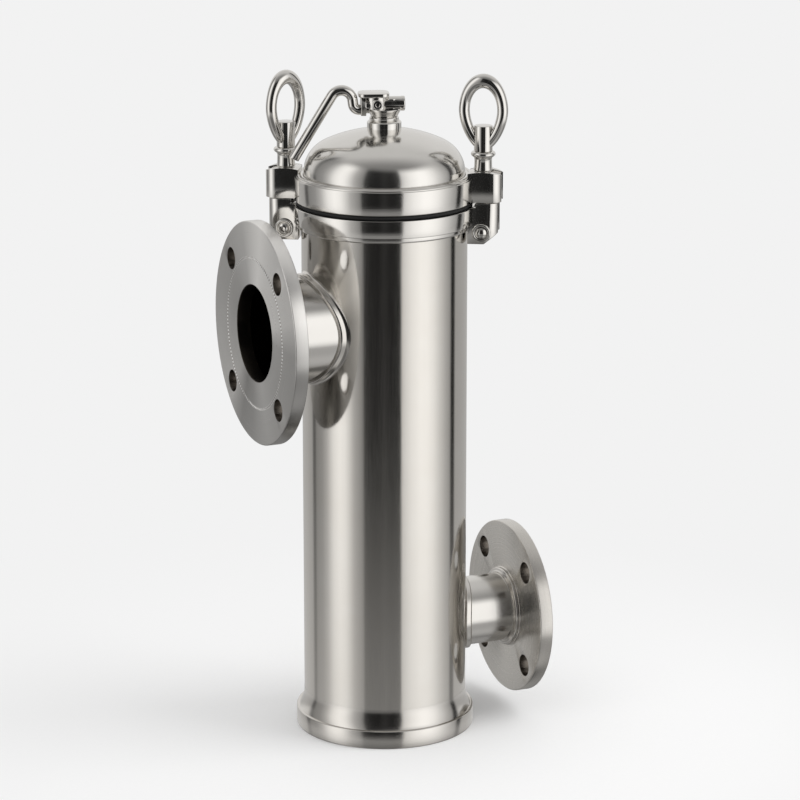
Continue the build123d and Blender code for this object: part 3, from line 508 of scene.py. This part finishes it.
for side, own in nozzles.items():
    size = {**shared, **own}
    spot, facing = (0, 0, size["z"]), (0, size["turn"], 0)
    back, reach, bore, r = size["reach"] - size["thick"], size["reach"], size["bore"], size["pipe"]
    darkTo = bore + size["boreToneReach"]
    finish = turnedSteel('turnedStainless' + side.title(), size["colours"], size["gloss"], 0.3, size["depth"], 'X',
                         size["z"], darkTo, size)
    pipeFinish = turnedSteel('brushedStainless' + side.title() + 'Pipe', (mid, light), size["pipeGloss"], 0.25,
                             0.10, 'X', size["z"], darkTo)
    # plate flange with a turned groove and four bolt holes
    grooveR, half, edge = size["rim"] * size["groove"], size["grooveWide"] / 2, size["boreEdge"]
    plate = lathe(side + 'Flange', [(bore, back)] + rim(size["rim"], back, reach, size["edge"])[::-1]
                  + [(grooveR + half, reach), (grooveR, reach - size["grooveDeep"]), (grooveR - half, reach)]
                  + bend(bore + edge, reach - edge, edge, 90, 180, 3), 224)
    corners = [radians(45 + 90 * i) for i in range(4)]
    cut(plate, *[rod('drill', size["hole"], size["thick"] + 4,
                     (size["pitch"] * cos(corner), size["pitch"] * sin(corner), back - 2), sides=64)
                 for corner in corners])
    ease(plate, size["holeEdge"], 2, 60)
    move(plate, spot, facing)
    dress(plate, 'housing', 'turned_flange', finish, side + '_flange', angle=40)
    # pipe, with its inner end cut to the shell's curve
    rowLong = (back - size["pipeRows"]) / 6
    pipe = lathe(side + 'Pipe', [(r, size["pipeStart"])] + [(r, size["pipeRows"] + i * rowLong) for i in range(7)]
                 + [(bore, back), (bore, size["pipeStart"])], 192)
    move(pipe, spot, facing)
    cut(pipe, rod('shellCutter', shell["inner"] + 0.4, 480, (0, 0, 0), sides=192))
    # rounded weld bead that follows the shell around the pipe
    long, tall = size["beadLong"], size["beadTall"]
    bead = lathe(side + 'Bead', [(r - 0.6, -1.5), (r - 0.6, long - 0.5), (r + 0.1, long - 0.4), (r + 0.7, long)]
                 + bend(r + tall - 1.1, long - 1.2, 1.1, 70, 0, 5)
                 + bend(r + tall + 2.4, 2.5, 2.4, 180, 255, 8) + [(r + tall + 2.4, -1.5)], 192)
    for point in bead.data.vertices:
        point.co.z += sqrt((shell["r"] * mm) ** 2 - point.co.y ** 2) - 0.2 * mm
    move(bead, spot, facing)
    dress(bead, 'housing', 'polished_steel', weldFinish, angle=60)
    dress(pipe, 'housing', 'brushed_pipe', pipeFinish, side + '_nozzle', angle=40)
    # hub collar on the back of the flange
    outR, tip = r + size["hubWide"], back - size["hubTall"]
    hub = lathe(side + 'Hub', [(r - 0.3, back + 0.2), (outR + 0.9, back + 0.2)]
                + bend(outR + 0.1, back - 0.2, 0.8, 0, -90, 3) + bend(outR - 1.6, tip + 2.6, 1.6, 0, -90, 5)
                + bend(r + 0.6, tip + 1.2, 0.8, -30, -150, 4), 192)
    move(hub, spot, facing)
    dress(hub, 'housing', 'brushed_pipe', weldFinish, side + '_hub_collar', angle=60)
print('nozzles made')

# swing bolt clamps, modelled round the bolt's own axis with X outwards
clamp = {"r": 84.0, "angle": -30.0, "pivotZ": 443.0, "halfWide": 13.0, "gap": 6.6, "inner": -12.0, "edge": 0.55,
         "noseRound": 10.0, "bracketReach": 14.5, "bracketTop": 464.0, "shoulderTop": 468.0, "shoulderStart": -5.2,
         "foot": 433.0, "footReach": 2.0, "bracketSlot": -8.7, "lugReach": 17.0, "lugBottom": 468.7, "lugSlot": -6.6,
         "crown": 51.5}


def noseBlock(name, bottom, top, reach):
    # a block whose two outer upright edges are well rounded
    piece = block(name, (clamp["inner"], -clamp["halfWide"], bottom), (reach, clamp["halfWide"], top))
    chooseEdges(piece, lambda a, b: a.x > reach - 1 and b.x > reach - 1 and abs(a.z - b.z) > 5)
    bpy.ops.mesh.bevel(offset=clamp["noseRound"] * mm, segments=14, affect='EDGES')
    putDown()
    return piece


bracket = noseBlock('bracket', clamp["foot"], clamp["shoulderTop"], clamp["bracketReach"])
cut(bracket, block('stepCutter', (-20, -20, clamp["bracketTop"]), (clamp["shoulderStart"], 20, 480)))
# the bracket's foot slants back under the pivot
slant = Vector((clamp["pivotZ"] - clamp["foot"], 0, -(clamp["bracketReach"] - clamp["footReach"]))).normalized()
pickUp(bracket)
bpy.ops.object.mode_set(mode='EDIT')
bpy.ops.mesh.select_all(action='SELECT')
bpy.ops.mesh.bisect(plane_co=Vector((clamp["footReach"], 0, clamp["foot"])) * mm, plane_no=slant,
                    use_fill=True, clear_outer=True, threshold=1e-6)
putDown()
cut(bracket, block('slotCutter', (clamp["bracketSlot"], -clamp["gap"], 420), (40, clamp["gap"], 480)))
ease(bracket, clamp["edge"], 3, 35)

lug = noseBlock('lug', clamp["lugBottom"], clamp["pivotZ"] + clamp["crown"] + 1, clamp["lugReach"])
cut(lug, rod('crownCutter', clamp["crown"], 60, (0, 30, clamp["pivotZ"]), (90, 0, 0), 256), way='INTERSECT')
cut(lug, block('slotCutter', (clamp["lugSlot"], -clamp["gap"], 420), (40, clamp["gap"], 520)))
ease(lug, clamp["edge"], 3, 35)

pin = {"r": 4.0, "headR": 8.0, "headTall": 4.2, "ringTall": 3.0, "ringRound": 1.3, "domeR": 5.2, "near": 13.0,
       "tail": 3.1, "point": 0.5, "clipR": 6.6, "clipTall": 1.6}
tip = -2 * pin["near"] - pin["tail"]
pivotPin = lathe('pivotPin', [(0, tip), (pin["r"] - pin["point"], tip), (pin["r"], tip + pin["point"]),
                              (pin["r"], 0), (pin["headR"] - 0.4, 0)]
                 + bend(pin["headR"] - pin["ringRound"], pin["ringTall"] - pin["ringRound"], pin["ringRound"],
                        0, 150, 9)
                 + [(pin["domeR"] + 0.1, 1.5), (pin["domeR"], 1.7)]
                 + bend(0, -2.2, pin["headTall"] + 2.2, 38, 90, 8), 96)
move(pivotPin, (0, -pin["near"], clamp["pivotZ"]), (90, 0, 0))

clip = lathe('pinClip', [(pin["r"] + 0.1, 0), (pin["clipR"], 0)]
             + bend(pin["clipR"] - 0.2, pin["clipTall"] / 2, 0.6, -60, 60, 4)
             + [(pin["clipR"] - 0.2, pin["clipTall"]), (pin["r"] + 0.1, pin["clipTall"])], 64)
cut(clip, block('splitCutter', (2, -1.1, -1), (9, 1.1, 3)))
move(clip, (0, pin["near"], clamp["pivotZ"]), (-90, 0, 0))

bolt = {"r": 6.0, "eyeR": 8.4, "halfEye": 6.3, "eyeEdge": 0.8, "pinBore": 4.1, "top": 528.7, "threadStart": 474.0,
        "pitch": 1.75, "root": 5.1}
bore, half, eyeR, edge = bolt["pinBore"], bolt["halfEye"], bolt["eyeR"], bolt["eyeEdge"]
eyeDisc = lathe('boltEye', [(bore, -half), (eyeR - edge, -half), (eyeR, -half + edge), (eyeR, half - edge),
                            (eyeR - edge, half), (bore, half)], 96)
move(eyeDisc, (0, 0, clamp["pivotZ"]), (90, 0, 0))
boltR, root, start, end = bolt["r"], bolt["root"], bolt["threadStart"], bolt["top"]
shank = lathe('boltShank', [(0, clamp["pivotZ"] + 7.6), (boltR, clamp["pivotZ"] + 7.0), (boltR, start),
                            (root + 0.05, start + 0.9), (root + 0.05, end - 0.6), (root - 0.6, end), (0, end)], 64)
# one turn of thread, as (radius, share of the pitch), wound up the bolt
tooth = ((root, 0), (boltR, 0.42), (boltR, 0.64), (root, 1.06), (root, 1.08))
thread = drawLine('boltThread', [(r, start + share * bolt["pitch"]) for r, share in tooth])
putDown()
turns = int((end - 1.6 - start) / bolt["pitch"])
modify(thread, 'SCREW', angle=2 * pi, screw_offset=bolt["pitch"] * mm, iterations=turns, steps=28, render_steps=28,
       axis='Z', use_merge_vertices=True, merge_threshold=1e-6, use_normal_calculate=True)
swingBolt = weld('swingBolt', shank, eyeDisc, thread)

collar = {"bore": 6.08, "bottom": 494.6, "neckR": 7.5, "footR": 8.1, "neckTop": 506.3, "beadR": 10.4, "top": 510.7}
foot, neck, halfBead = collar["bottom"], collar["neckTop"], (collar["top"] - collar["neckTop"]) / 2
footR, neckR = collar["footR"], collar["neckR"]
nutCollar = lathe('nutCollar', [(collar["bore"], foot), (footR - 0.3, foot), (footR, foot + 0.4),
                                (footR - 0.25, foot + 1.4), (neckR, foot + 3.2), (neckR - 0.1, neck - 2.6),
                                (neckR + 0.3, neck - 0.9), (neckR + 1.2, neck)]
                  + bend(collar["beadR"] - halfBead, neck + halfBead, halfBead, -80, 80, 12)
                  + [(neckR + 1.0, collar["top"]), (collar["bore"], collar["top"])], 96)

nut = {"sleeveR": 7.8, "bottom": 510.8, "height": 21.8, "cap": 3.6, "bore": 6.08, "edge": 0.5, "wire": 4.6,
       "crownSwell": 1.33, "loopTop": 576.4, "loopWide": 16.5, "wideZ": 545.2, "legDrop": 30.0, "legSteps": 22}
foot, top, bore, sleeveR, edge = nut["bottom"], nut["bottom"] + nut["height"], nut["bore"], nut["sleeveR"], nut["edge"]
sleeve = lathe('eyeSleeve', [(0, top - nut["cap"]), (bore, top - nut["cap"]), (bore, foot + edge),
                             (bore + 0.4, foot), (sleeveR - edge, foot), (sleeveR, foot + edge)]
               + bend(sleeveR - edge, top - edge, edge, 0, 90, 4) + [(0, top)], 96)
# the forged loop is egg shaped: an upper half ellipse, then sides that draw in to the sleeve, thickest at the crown
crownZ = nut["loopTop"] - nut["wire"] * nut["crownSwell"]
loopSpots, loopSizes = [], []
for i in range(57):
    t = pi * i / 56
    loopSpots.append((nut["loopWide"] * cos(t), 0, nut["wideZ"] + (crownZ - nut["wideZ"]) * sin(t)))
    loopSizes.append(1 + (nut["crownSwell"] - 1) * max(0, sin(t)) ** 3)
legs = []
for i in range(1, nut["legSteps"]):
    drop = i / nut["legSteps"]
    legs.append((nut["loopWide"] * (1 - drop ** 1.7) ** 0.65, 0, nut["wideZ"] - nut["legDrop"] * drop))
loopSpots = legs[::-1] + loopSpots + [(-x, y, z) for x, y, z in legs]
loopSizes = [1] * len(legs) + loopSizes + [1] * len(legs)
eyeNut = weld('eyeNut', sleeve, bentRod('eyeLoop', loopSpots, nut["wire"], loopSizes))

# each part with its solid's name, body, finish and smoothing angle
clampParts = [(bracket, 'hinge_bracket', 'housing', blockFinish, 30),
              (pivotPin, 'pivot_pin', 'housing', castFinish, 50), (clip, 'pin_clip', 'housing', castFinish, 40),
              (lug, 'lid_lug', 'lid', blockFinish, 30), (swingBolt, 'swing_bolt', 'bolt', castFinish, 40),
              (nutCollar, 'nut_collar', 'collar', castFinish, 60), (eyeNut, 'eye_nut', 'nut', castFinish, 40)]
eyeTurns = {"right": -7.0, "left": 52.0}
for side, angle in (("right", clamp["angle"]), ("left", clamp["angle"] + 180)):
    spot = (clamp["r"] * cos(radians(angle)), clamp["r"] * sin(radians(angle)), 0)
    for made, node, body, finish, smooth in clampParts:
        piece = twin(made, side + ''.join(word.title() for word in node.split('_')))
        ownTurn = angle
        if node == 'eye_nut':
            ownTurn += eyeTurns[side]
        if side == 'left' and node in ('pivot_pin', 'pin_clip'):   # both heads face the front
            ownTurn += 180
        move(piece, spot, (0, 0, ownTurn))
        rides = body if body in ('housing', 'lid') else side + '_' + body
        dress(piece, rides, 'polished_steel', finish, side + '_' + node, angle=smooth)
for made in clampParts:
    bpy.data.objects.remove(made[0])
print('clamps made')

# vent cock on the dome, X from the handle towards the barrel
vent = {"angle": 342.0, "bossR": 14.5, "bossBottom": 525.5, "bossTop": 535.3, "bossEdge": 1.3, "neckR": 12.4,
        "neckTop": 538.8, "cupFoot": 11.6, "cupBottom": 538.9, "cupLine": ((12.3, 541.0), (13.6, 543.2)),
        "cupMouth": 14.6, "cupLip": 545.0, "cupTop": 545.7, "headR": 8.6, "headX": -6.5, "headTop": 555.7,
        "legR": 5.2, "legX": 6.4, "barrelR": 6.3, "barrelZ": 549.4, "barrelStart": -6.0, "barrelEnd": 17.4,
        "glandR": 8.0, "glandZ": 547.7, "glandEnd": -20.0, "glandLong": 4.5, "glandBoss": 6.5, "capX": -9.0,
        "capLong": 26.0, "capWide": 21.0, "capTop": 559.3, "bleedZ": 550.3, "bleedR": 4.2, "bleedFace": -8.7,
        "bleedLong": 5.0, "bleedStem": 2.4, "bleedIn": -7.6}


def fitVent(piece, body, node, angle=40):
    move(piece, turned=(0, 0, vent["angle"]))
    dress(piece, body, 'polished_steel', castFinish, node, angle=angle)


low, high, r, edge = vent["bossBottom"], vent["bossTop"], vent["bossR"], vent["bossEdge"]
boss = lathe('ventBoss', [(0, low), (r, low), (r, high - edge), (r - edge, high), (0, high)], 128)
ease(boss, 0.3, 2, 30)
dress(boss, 'lid', 'polished_steel', castFinish, 'vent_boss', angle=40)
low, high, r = vent["bossTop"], vent["neckTop"], vent["neckR"]
neck = lathe('ventNeck', [(0, low), (r - 0.3, low), (r, low + 0.4), (r, high - 0.9), (r - 0.9, high), (0, high)], 96)
dress(neck, 'lid', 'polished_steel', castFinish, 'vent_neck', angle=40)

low, high, foot, mouth = vent["cupBottom"], vent["cupTop"], vent["cupFoot"], vent["cupMouth"]
cup = lathe('ventHead', [(0, low), (foot - 0.5, low), (foot + 0.1, low + 0.6), *vent["cupLine"],
                         (mouth, vent["cupLip"]), (mouth - 0.4, high), (0, high)], 96)
post = rod('post', vent["headR"], vent["headTop"] - vent["cupTop"] + 2, (vent["headX"], 0, vent["cupTop"] - 2))
leg = rod('leg', vent["legR"], vent["headTop"] - vent["cupTop"], (vent["legX"], 0, vent["cupTop"] - 2))
low, high, r = vent["barrelStart"], vent["barrelEnd"], vent["barrelR"]
barrel = lathe('barrel', [(0, low), (r - 0.2, low), (r - 0.2, high - 3.4), (r, high - 3.0)]
               + bend(r - 1.0, high - 1.0, 1.0, 0, 90, 5) + [(0, high)], 96)
move(barrel, (0, 0, vent["barrelZ"]), (0, 90, 0))
glandBoss = rod('glandBoss', vent["glandBoss"], 10, (vent["glandEnd"] + vent["glandLong"], 0, vent["glandZ"]),
                (0, 90, 0))
cut(cup, post, leg, barrel, glandBoss, way='UNION')
ease(cup, 0.5, 3, 40)
fitVent(cup, 'vent_cock', 'vent_head')

cap = block('ventCap', (vent["capX"] - vent["capLong"] / 2, -vent["capWide"] / 2, vent["headTop"]),
            (vent["capX"] + vent["capLong"] / 2, vent["capWide"] / 2, vent["capTop"]))
chooseEdges(cap, lambda a, b: abs(a.z - b.z) > 1)
bpy.ops.mesh.bevel(offset=vent["capWide"] * 0.3 * mm, segments=8, affect='EDGES')
putDown()
ease(cap, 0.9, 4, 40)
fitVent(cap, 'vent_cock', 'vent_cap')

gland = rod('ventGland', vent["glandR"] / cos(pi / 6), vent["glandLong"], (vent["glandEnd"], 0, vent["glandZ"]),
            (0, 90, 0), sides=6)
ease(gland, 0.5, 3, 30)
fitVent(gland, 'vent_cock', 'vent_gland', 35)

stem, bleedR, bleedEnd = vent["bleedStem"], vent["bleedR"], vent["bleedLong"]
bleed = lathe('bleedScrew', [(0, vent["bleedIn"]), (stem, vent["bleedIn"]), (stem, 0), (bleedR, 0),
                             (bleedR, bleedEnd - 0.9)]
              + bend(bleedR - 0.9, bleedEnd - 0.9, 0.9, 0, 90, 5)
              + [(2.0, bleedEnd), (1.6, bleedEnd - 0.8), (0, bleedEnd - 0.8)], 64)
move(bleed, (vent["headX"], vent["bleedFace"], vent["bleedZ"]), (90, 0, 0))
fitVent(bleed, 'bleed_screw', 'bleed_screw')

handle = {"r": 4.5, "corners": ((-76.5, 503.5), (-30.2, 579.6), (-25.6, 544.5), (-19.5, 544.5)), "rounds": (9.5, 5.2)}


def roundedPath(corners, rounds):
    # straight runs joined by arcs of the given radii
    spots = [corners[0]]
    for i, r in enumerate(rounds, 1):
        before, corner, after = (Vector(corners[i + k]) for k in (-1, 0, 1))
        into, away = (before - corner).normalized(), (after - corner).normalized()
        half = into.angle(away) / 2
        middle = corner + (into + away).normalized() * (r / sin(half))
        start, end = corner + into * (r / tan(half)), corner + away * (r / tan(half))
        first = atan2(start.y - middle.y, start.x - middle.x)
        turn = atan2(end.y - middle.y, end.x - middle.x) - first
        turn = (turn + pi) % (2 * pi) - pi
        spots += [(middle.x + r * cos(first + turn * k / 20), middle.y + r * sin(first + turn * k / 20))
                  for k in range(21)]
    return [(x, 0, z) for x, z in spots + [corners[-1]]]


ventHandle = bentRod('ventHandle', roundedPath(handle["corners"], handle["rounds"]), handle["r"])
ease(ventHandle, 0.8, 3, 50)
fitVent(ventHandle, 'vent_cock', 'vent_handle')
print('vent cock made')

# filter bag: felt tube with a folded hem, a rounded sewn end and a lengthwise seam
bag = {"r": 49.9, "wall": 1.6, "top": 313.0, "long": 236.0, "round": 18.0, "hemR": 53.3, "hemTall": 1.4, "slack": 0.6,
       "sag": 0.35, "folds": 11, "fade": 60.0, "seamAt": 0.4}
bottom, hemTop = bag["top"] - bag["long"], bag["top"] + bag["hemTall"]
cornerR, cornerZ = bag["r"] - bag["round"], bottom + bag["round"]
outside = [(bag["r"] - bag["slack"], cornerZ + (bag["long"] - bag["round"]) * i / 30) for i in range(31)]
inside = [(r - bag["wall"], z) for r, z in outside[::-1]]
filterBag = lathe('filterBag', [(0, bottom + bag["slack"])]
                  + bend(cornerR, cornerZ, bag["round"] - bag["slack"], -90, 0, 8)[:-1] + outside
                  + [(bag["hemR"] - 0.4, bag["top"] + 0.1), (bag["hemR"], bag["top"] + 0.7),
                     (bag["hemR"] - 0.4, hemTop), (bag["r"] - bag["wall"] - bag["slack"], hemTop)] + inside
                  + bend(cornerR, cornerZ, bag["round"] - bag["wall"] - bag["slack"], 0, -90, 8)[1:]
                  + [(0, bottom + bag["wall"] + bag["slack"])], 132)
for point in filterBag.data.vertices:   # soft upright folds that fade towards the hem, and the seam's ridge
    drop = min(max((bag["top"] - point.co.z / mm) / bag["fade"], 0), 1)
    around = atan2(point.co.y, point.co.x)
    pull = drop * bag["sag"] * (sin(bag["folds"] * around) + 0.6 * sin(5 * around + point.co.z * 40) - 1.6)
    distance = hypot(point.co.x, point.co.y)
    if distance > 5 * mm:
        ridge = 0.5 * drop * max(0, 1 - abs(around - bag["seamAt"]) * 40)
        point.co.x *= 1 + (pull + ridge) * mm / distance
        point.co.y *= 1 + (pull + ridge) * mm / distance
dress(filterBag, 'housing', 'white_felt', feltFinish, 'filter_bag', angle=60)
for name in ('strainer_basket', 'basket_rim', 'basket_seat_ring', 'bag_snap_ring', 'basket_bail'):
    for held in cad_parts[name].material_slots:
        held.material = dullFinish
print('bag and basket dressed')

# studio
studio = {"azimuth": -23.17, "floor": 6.0, "drop": 0.05, "floorColour": '#F8F8F8', "fibreColour": '#F4F4F4',
          "backColour": '#F2F2F2', "softLight": 0.80, "fadeStart": 100.0, "fadeEnd": 600.0, "fadeLow": 0.05,
          "lampAim": (0, 0, 0.2),
          "lamps": (("keyLight", 22, 1.5, (1.5, -0.9, 1.9)), ("fillLight", 6, 1.8, (-1.5, -1.0, 1.9)))}
putDown()
bpy.ops.mesh.primitive_grid_add(x_subdivisions=8, y_subdivisions=8, size=studio["floor"] * 2,
                                location=(0, 0, -studio["drop"] * mm))
floor = bpy.context.object
floor.name = 'studioFloor'
paper, tree, skin, place = newFinish('matteStudioPaper')   # pressed white paper: flat, with barely visible fibre
fibre = addNode(tree, 'ShaderNodeTexNoise', {'Scale': 300, 'Detail': 3}, {'Vector': place})
paperTone = addNode(tree, 'ShaderNodeMix', {6: linear(studio["fibreColour"]), 7: linear(studio["floorColour"])},
                    {0: fibre.outputs[0]}, data_type='RGBA')
tree.links.new(paperTone.outputs[2], skin.inputs['Base Color'])
skin.inputs['Roughness'].default_value = 0.95
skin.inputs['Specular IOR Level'].default_value = 0
# away from the object the paper fades into the plain background that the camera sees
reach = addNode(tree, 'ShaderNodeVectorMath', links={0: place}, operation='LENGTH')
fade = addNode(tree, 'ShaderNodeMapRange',
               {'From Min': studio["fadeStart"] * mm, 'From Max': studio["fadeEnd"] * mm, 'To Min': studio["fadeLow"]},
               {'Value': reach.outputs['Value']}, interpolation_type='SMOOTHSTEP')
rays = addNode(tree, 'ShaderNodeLightPath')
glossy = addNode(tree, 'ShaderNodeMath', links={0: rays.outputs['Is Camera Ray'],
                                                1: rays.outputs['Is Glossy Ray']}, operation='MAXIMUM')
straight = addNode(tree, 'ShaderNodeMath', links={0: glossy.outputs[0], 1: rays.outputs['Is Transmission Ray']},
                   operation='MAXIMUM')
share = addNode(tree, 'ShaderNodeMath', links={0: fade.outputs[0], 1: straight.outputs[0]}, operation='MULTIPLY')
plain = addNode(tree, 'ShaderNodeEmission', {'Color': linear(studio["backColour"]), 'Strength': 1.0})
merged = addNode(tree, 'ShaderNodeMixShader', links={0: share.outputs[0], 1: skin.outputs[0], 2: plain.outputs[0]})
tree.links.new(merged.outputs[0], tree.nodes['Material Output'].inputs['Surface'])
floor.data.materials.append(paper)
floor.visible_glossy = False   # mirror finishes see the studio's soft boxes and dark cards instead

# The studio as a mirror sees it, by direction from the front: a dark card in the middle, a soft box on
# each side, thin dark gaps at their far edges, and a pale wall behind.
wallBand = [(-180, 0.50), (-140, 0.50), (-123, 0.42), (-119, 0.12), (-114.5, 0.10), (-112, 0.27), (-98, 0.35),
            (-88, 0.55), (-76, 1.06), (-66, 1.24), (-57, 1.15), (-50, 0.86), (-43, 0.53), (-30, 0.27), (-28, 0.050),
            (-20, 0.020), (-8, 0.014), (0, 0.032), (9, 0.016), (22.5, 0.026), (24.5, 0.80), (38, 1.14), (52, 1.32),
            (62, 1.30), (72, 1.15), (83, 0.84), (95, 0.55), (105, 0.38), (107, 0.018), (114, 0.018), (117, 0.45),
            (180, 0.50)]
wallPeak = 1.5   # a ramp's colours stay under 1, so it holds each level divided by this
world = bpy.data.worlds.new('studioLight')
bpy.context.scene.world = world
world.use_nodes = True
tree = world.node_tree
tree.nodes.clear()
facing = addNode(tree, 'ShaderNodeTexCoord').outputs['Generated']
turned = addNode(tree, 'ShaderNodeVectorRotate', {'Angle': radians(90 - studio["azimuth"])}, {'Vector': facing},
                 rotation_type='Z_AXIS')
axes = addNode(tree, 'ShaderNodeSeparateXYZ', links={0: turned.outputs[0]})
around = addNode(tree, 'ShaderNodeMath', links={0: axes.outputs[1], 1: axes.outputs[0]}, operation='ARCTAN2')
rise = addNode(tree, 'ShaderNodeMath', links={0: axes.outputs[2]}, operation='ARCSINE')


def between(low, high, first, second, climb=None):
    # fades from the first level to the second as the direction rises from low to high degrees
    share = addNode(tree, 'ShaderNodeMapRange', {'From Min': radians(low), 'From Max': radians(high)},
                    {'Value': climb or rise.outputs[0]}, interpolation_type='SMOOTHSTEP')
    mixed = addNode(tree, 'ShaderNodeMix', links={0: share.outputs[0]})
    for socket, source in ((2, first), (3, second)):
        if isinstance(source, float):
            mixed.inputs[socket].default_value = source
        else:
            tree.links.new(source, mixed.inputs[socket])
    return mixed.outputs[0]


share = addNode(tree, 'ShaderNodeMapRange', {'From Min': -pi, 'From Max': pi}, {'Value': around.outputs[0]})
ramp = addNode(tree, 'ShaderNodeValToRGB', links={0: share.outputs[0]})
fillRamp(ramp, [(angle, (bright / wallPeak,) * 3 + (1,)) for angle, bright in wallBand])
wall = addNode(tree, 'ShaderNodeMath', {1: wallPeak}, {0: ramp.outputs[0]}, operation='MULTIPLY').outputs[0]
# downwards the same wall, paler near the floor's far edge, then dim, and dark underneath
level = wall
for share, shift, lowest, highest in ((0.62, 0.29, -21.5, -15), (0.22, 0.16, -31, -21), (0.25, 0.22, -58, -40)):
    faded = addNode(tree, 'ShaderNodeMath', {1: share, 2: shift}, {0: wall}, operation='MULTIPLY_ADD').outputs[0]
    level = between(lowest, highest, faded, level)
level = between(-80, -64, 0.035, level)
# above eye level the wall behind is lit more strongly
behind = addNode(tree, 'ShaderNodeMapRange', {'From Min': -0.35, 'From Max': -0.60, 'To Max': 0.3},
                 {'Value': axes.outputs[0]}).outputs[0]
above = between(-9, 3, 0.0, behind)
level = addNode(tree, 'ShaderNodeMath', links={0: level, 1: above}, operation='ADD').outputs[0]
# grey ceiling, hung lower on the right, that brightens towards the back
leaning = addNode(tree, 'ShaderNodeMath', {1: radians(9)}, {0: axes.outputs[1], 2: rise.outputs[0]},
                  operation='MULTIPLY_ADD').outputs[0]
ceiling = addNode(tree, 'ShaderNodeMapRange', {'From Min': 0.6, 'From Max': -0.35, 'To Min': 0.24, 'To Max': 0.66},
                  {'Value': axes.outputs[0]}, interpolation_type='SMOOTHSTEP').outputs[0]
level = between(34, 57, level, ceiling, leaning)
tinted = addNode(tree, 'ShaderNodeMix', {6: (0, 0, 0, 1), 7: (1.0, 0.988, 0.970, 1)}, {0: level},
                 data_type='RGBA', clamp_factor=False)
mirrorView = addNode(tree, 'ShaderNodeBackground', {'Strength': 1.0}, {'Color': tinted.outputs[2]})
softView = addNode(tree, 'ShaderNodeBackground', {'Color': (1, 1, 1, 1), 'Strength': studio["softLight"]})
plainView = addNode(tree, 'ShaderNodeBackground', {'Color': linear(studio["backColour"]), 'Strength': 1.0})
rays = addNode(tree, 'ShaderNodeLightPath')
lit = addNode(tree, 'ShaderNodeMixShader', links={0: rays.outputs['Is Glossy Ray'], 1: softView.outputs[0],
                                                  2: mirrorView.outputs[0]})
straight = addNode(tree, 'ShaderNodeMath', links={0: rays.outputs['Is Camera Ray'],
                                                   1: rays.outputs['Is Transmission Ray']}, operation='MAXIMUM')
seen = addNode(tree, 'ShaderNodeMixShader', links={0: straight.outputs[0], 1: lit.outputs[0],
                                                   2: plainView.outputs[0]})
addNode(tree, 'ShaderNodeOutputWorld', links={0: seen.outputs[0]})

for name, power, size, spot in studio["lamps"]:
    bpy.ops.object.light_add(type='AREA', location=spot)
    lamp = bpy.context.object
    lamp.name = name
    lamp.data.shape = 'SQUARE'
    lamp.data.size = size
    lamp.data.energy = power
    lamp.rotation_mode = 'QUATERNION'
    lamp.rotation_quaternion = (Vector(studio["lampAim"]) - Vector(spot)).to_track_quat('-Z', 'Y')
    lamp.visible_glossy = False

# camera
lens = {"rise": 15.0, "distance": 3.0, "aimZ": 0.2909, "aimAside": 0.0133, "focal": 156.76, "sensor": 36.0,
        "near": 0.1, "far": 60}
turn, tilt = radians(studio["azimuth"]), radians(lens["rise"])
aim = Vector((lens["aimAside"] * cos(turn), lens["aimAside"] * sin(turn), lens["aimZ"]))
backwards = Vector((sin(turn) * cos(tilt), -cos(turn) * cos(tilt), sin(tilt)))
bpy.ops.object.camera_add(location=aim + backwards * lens["distance"])
camera = bpy.context.object
camera.name = 'mainCamera'
camera.rotation_mode = 'QUATERNION'
camera.rotation_quaternion = (-backwards).to_track_quat('-Z', 'Y')
camera.data.sensor_width = lens["sensor"]
camera.data.lens = lens["focal"]
camera.data.clip_start, camera.data.clip_end = lens["near"], lens["far"]
bpy.context.scene.camera = camera
bpy.context.scene.view_settings.view_transform = 'Standard'
putDown()
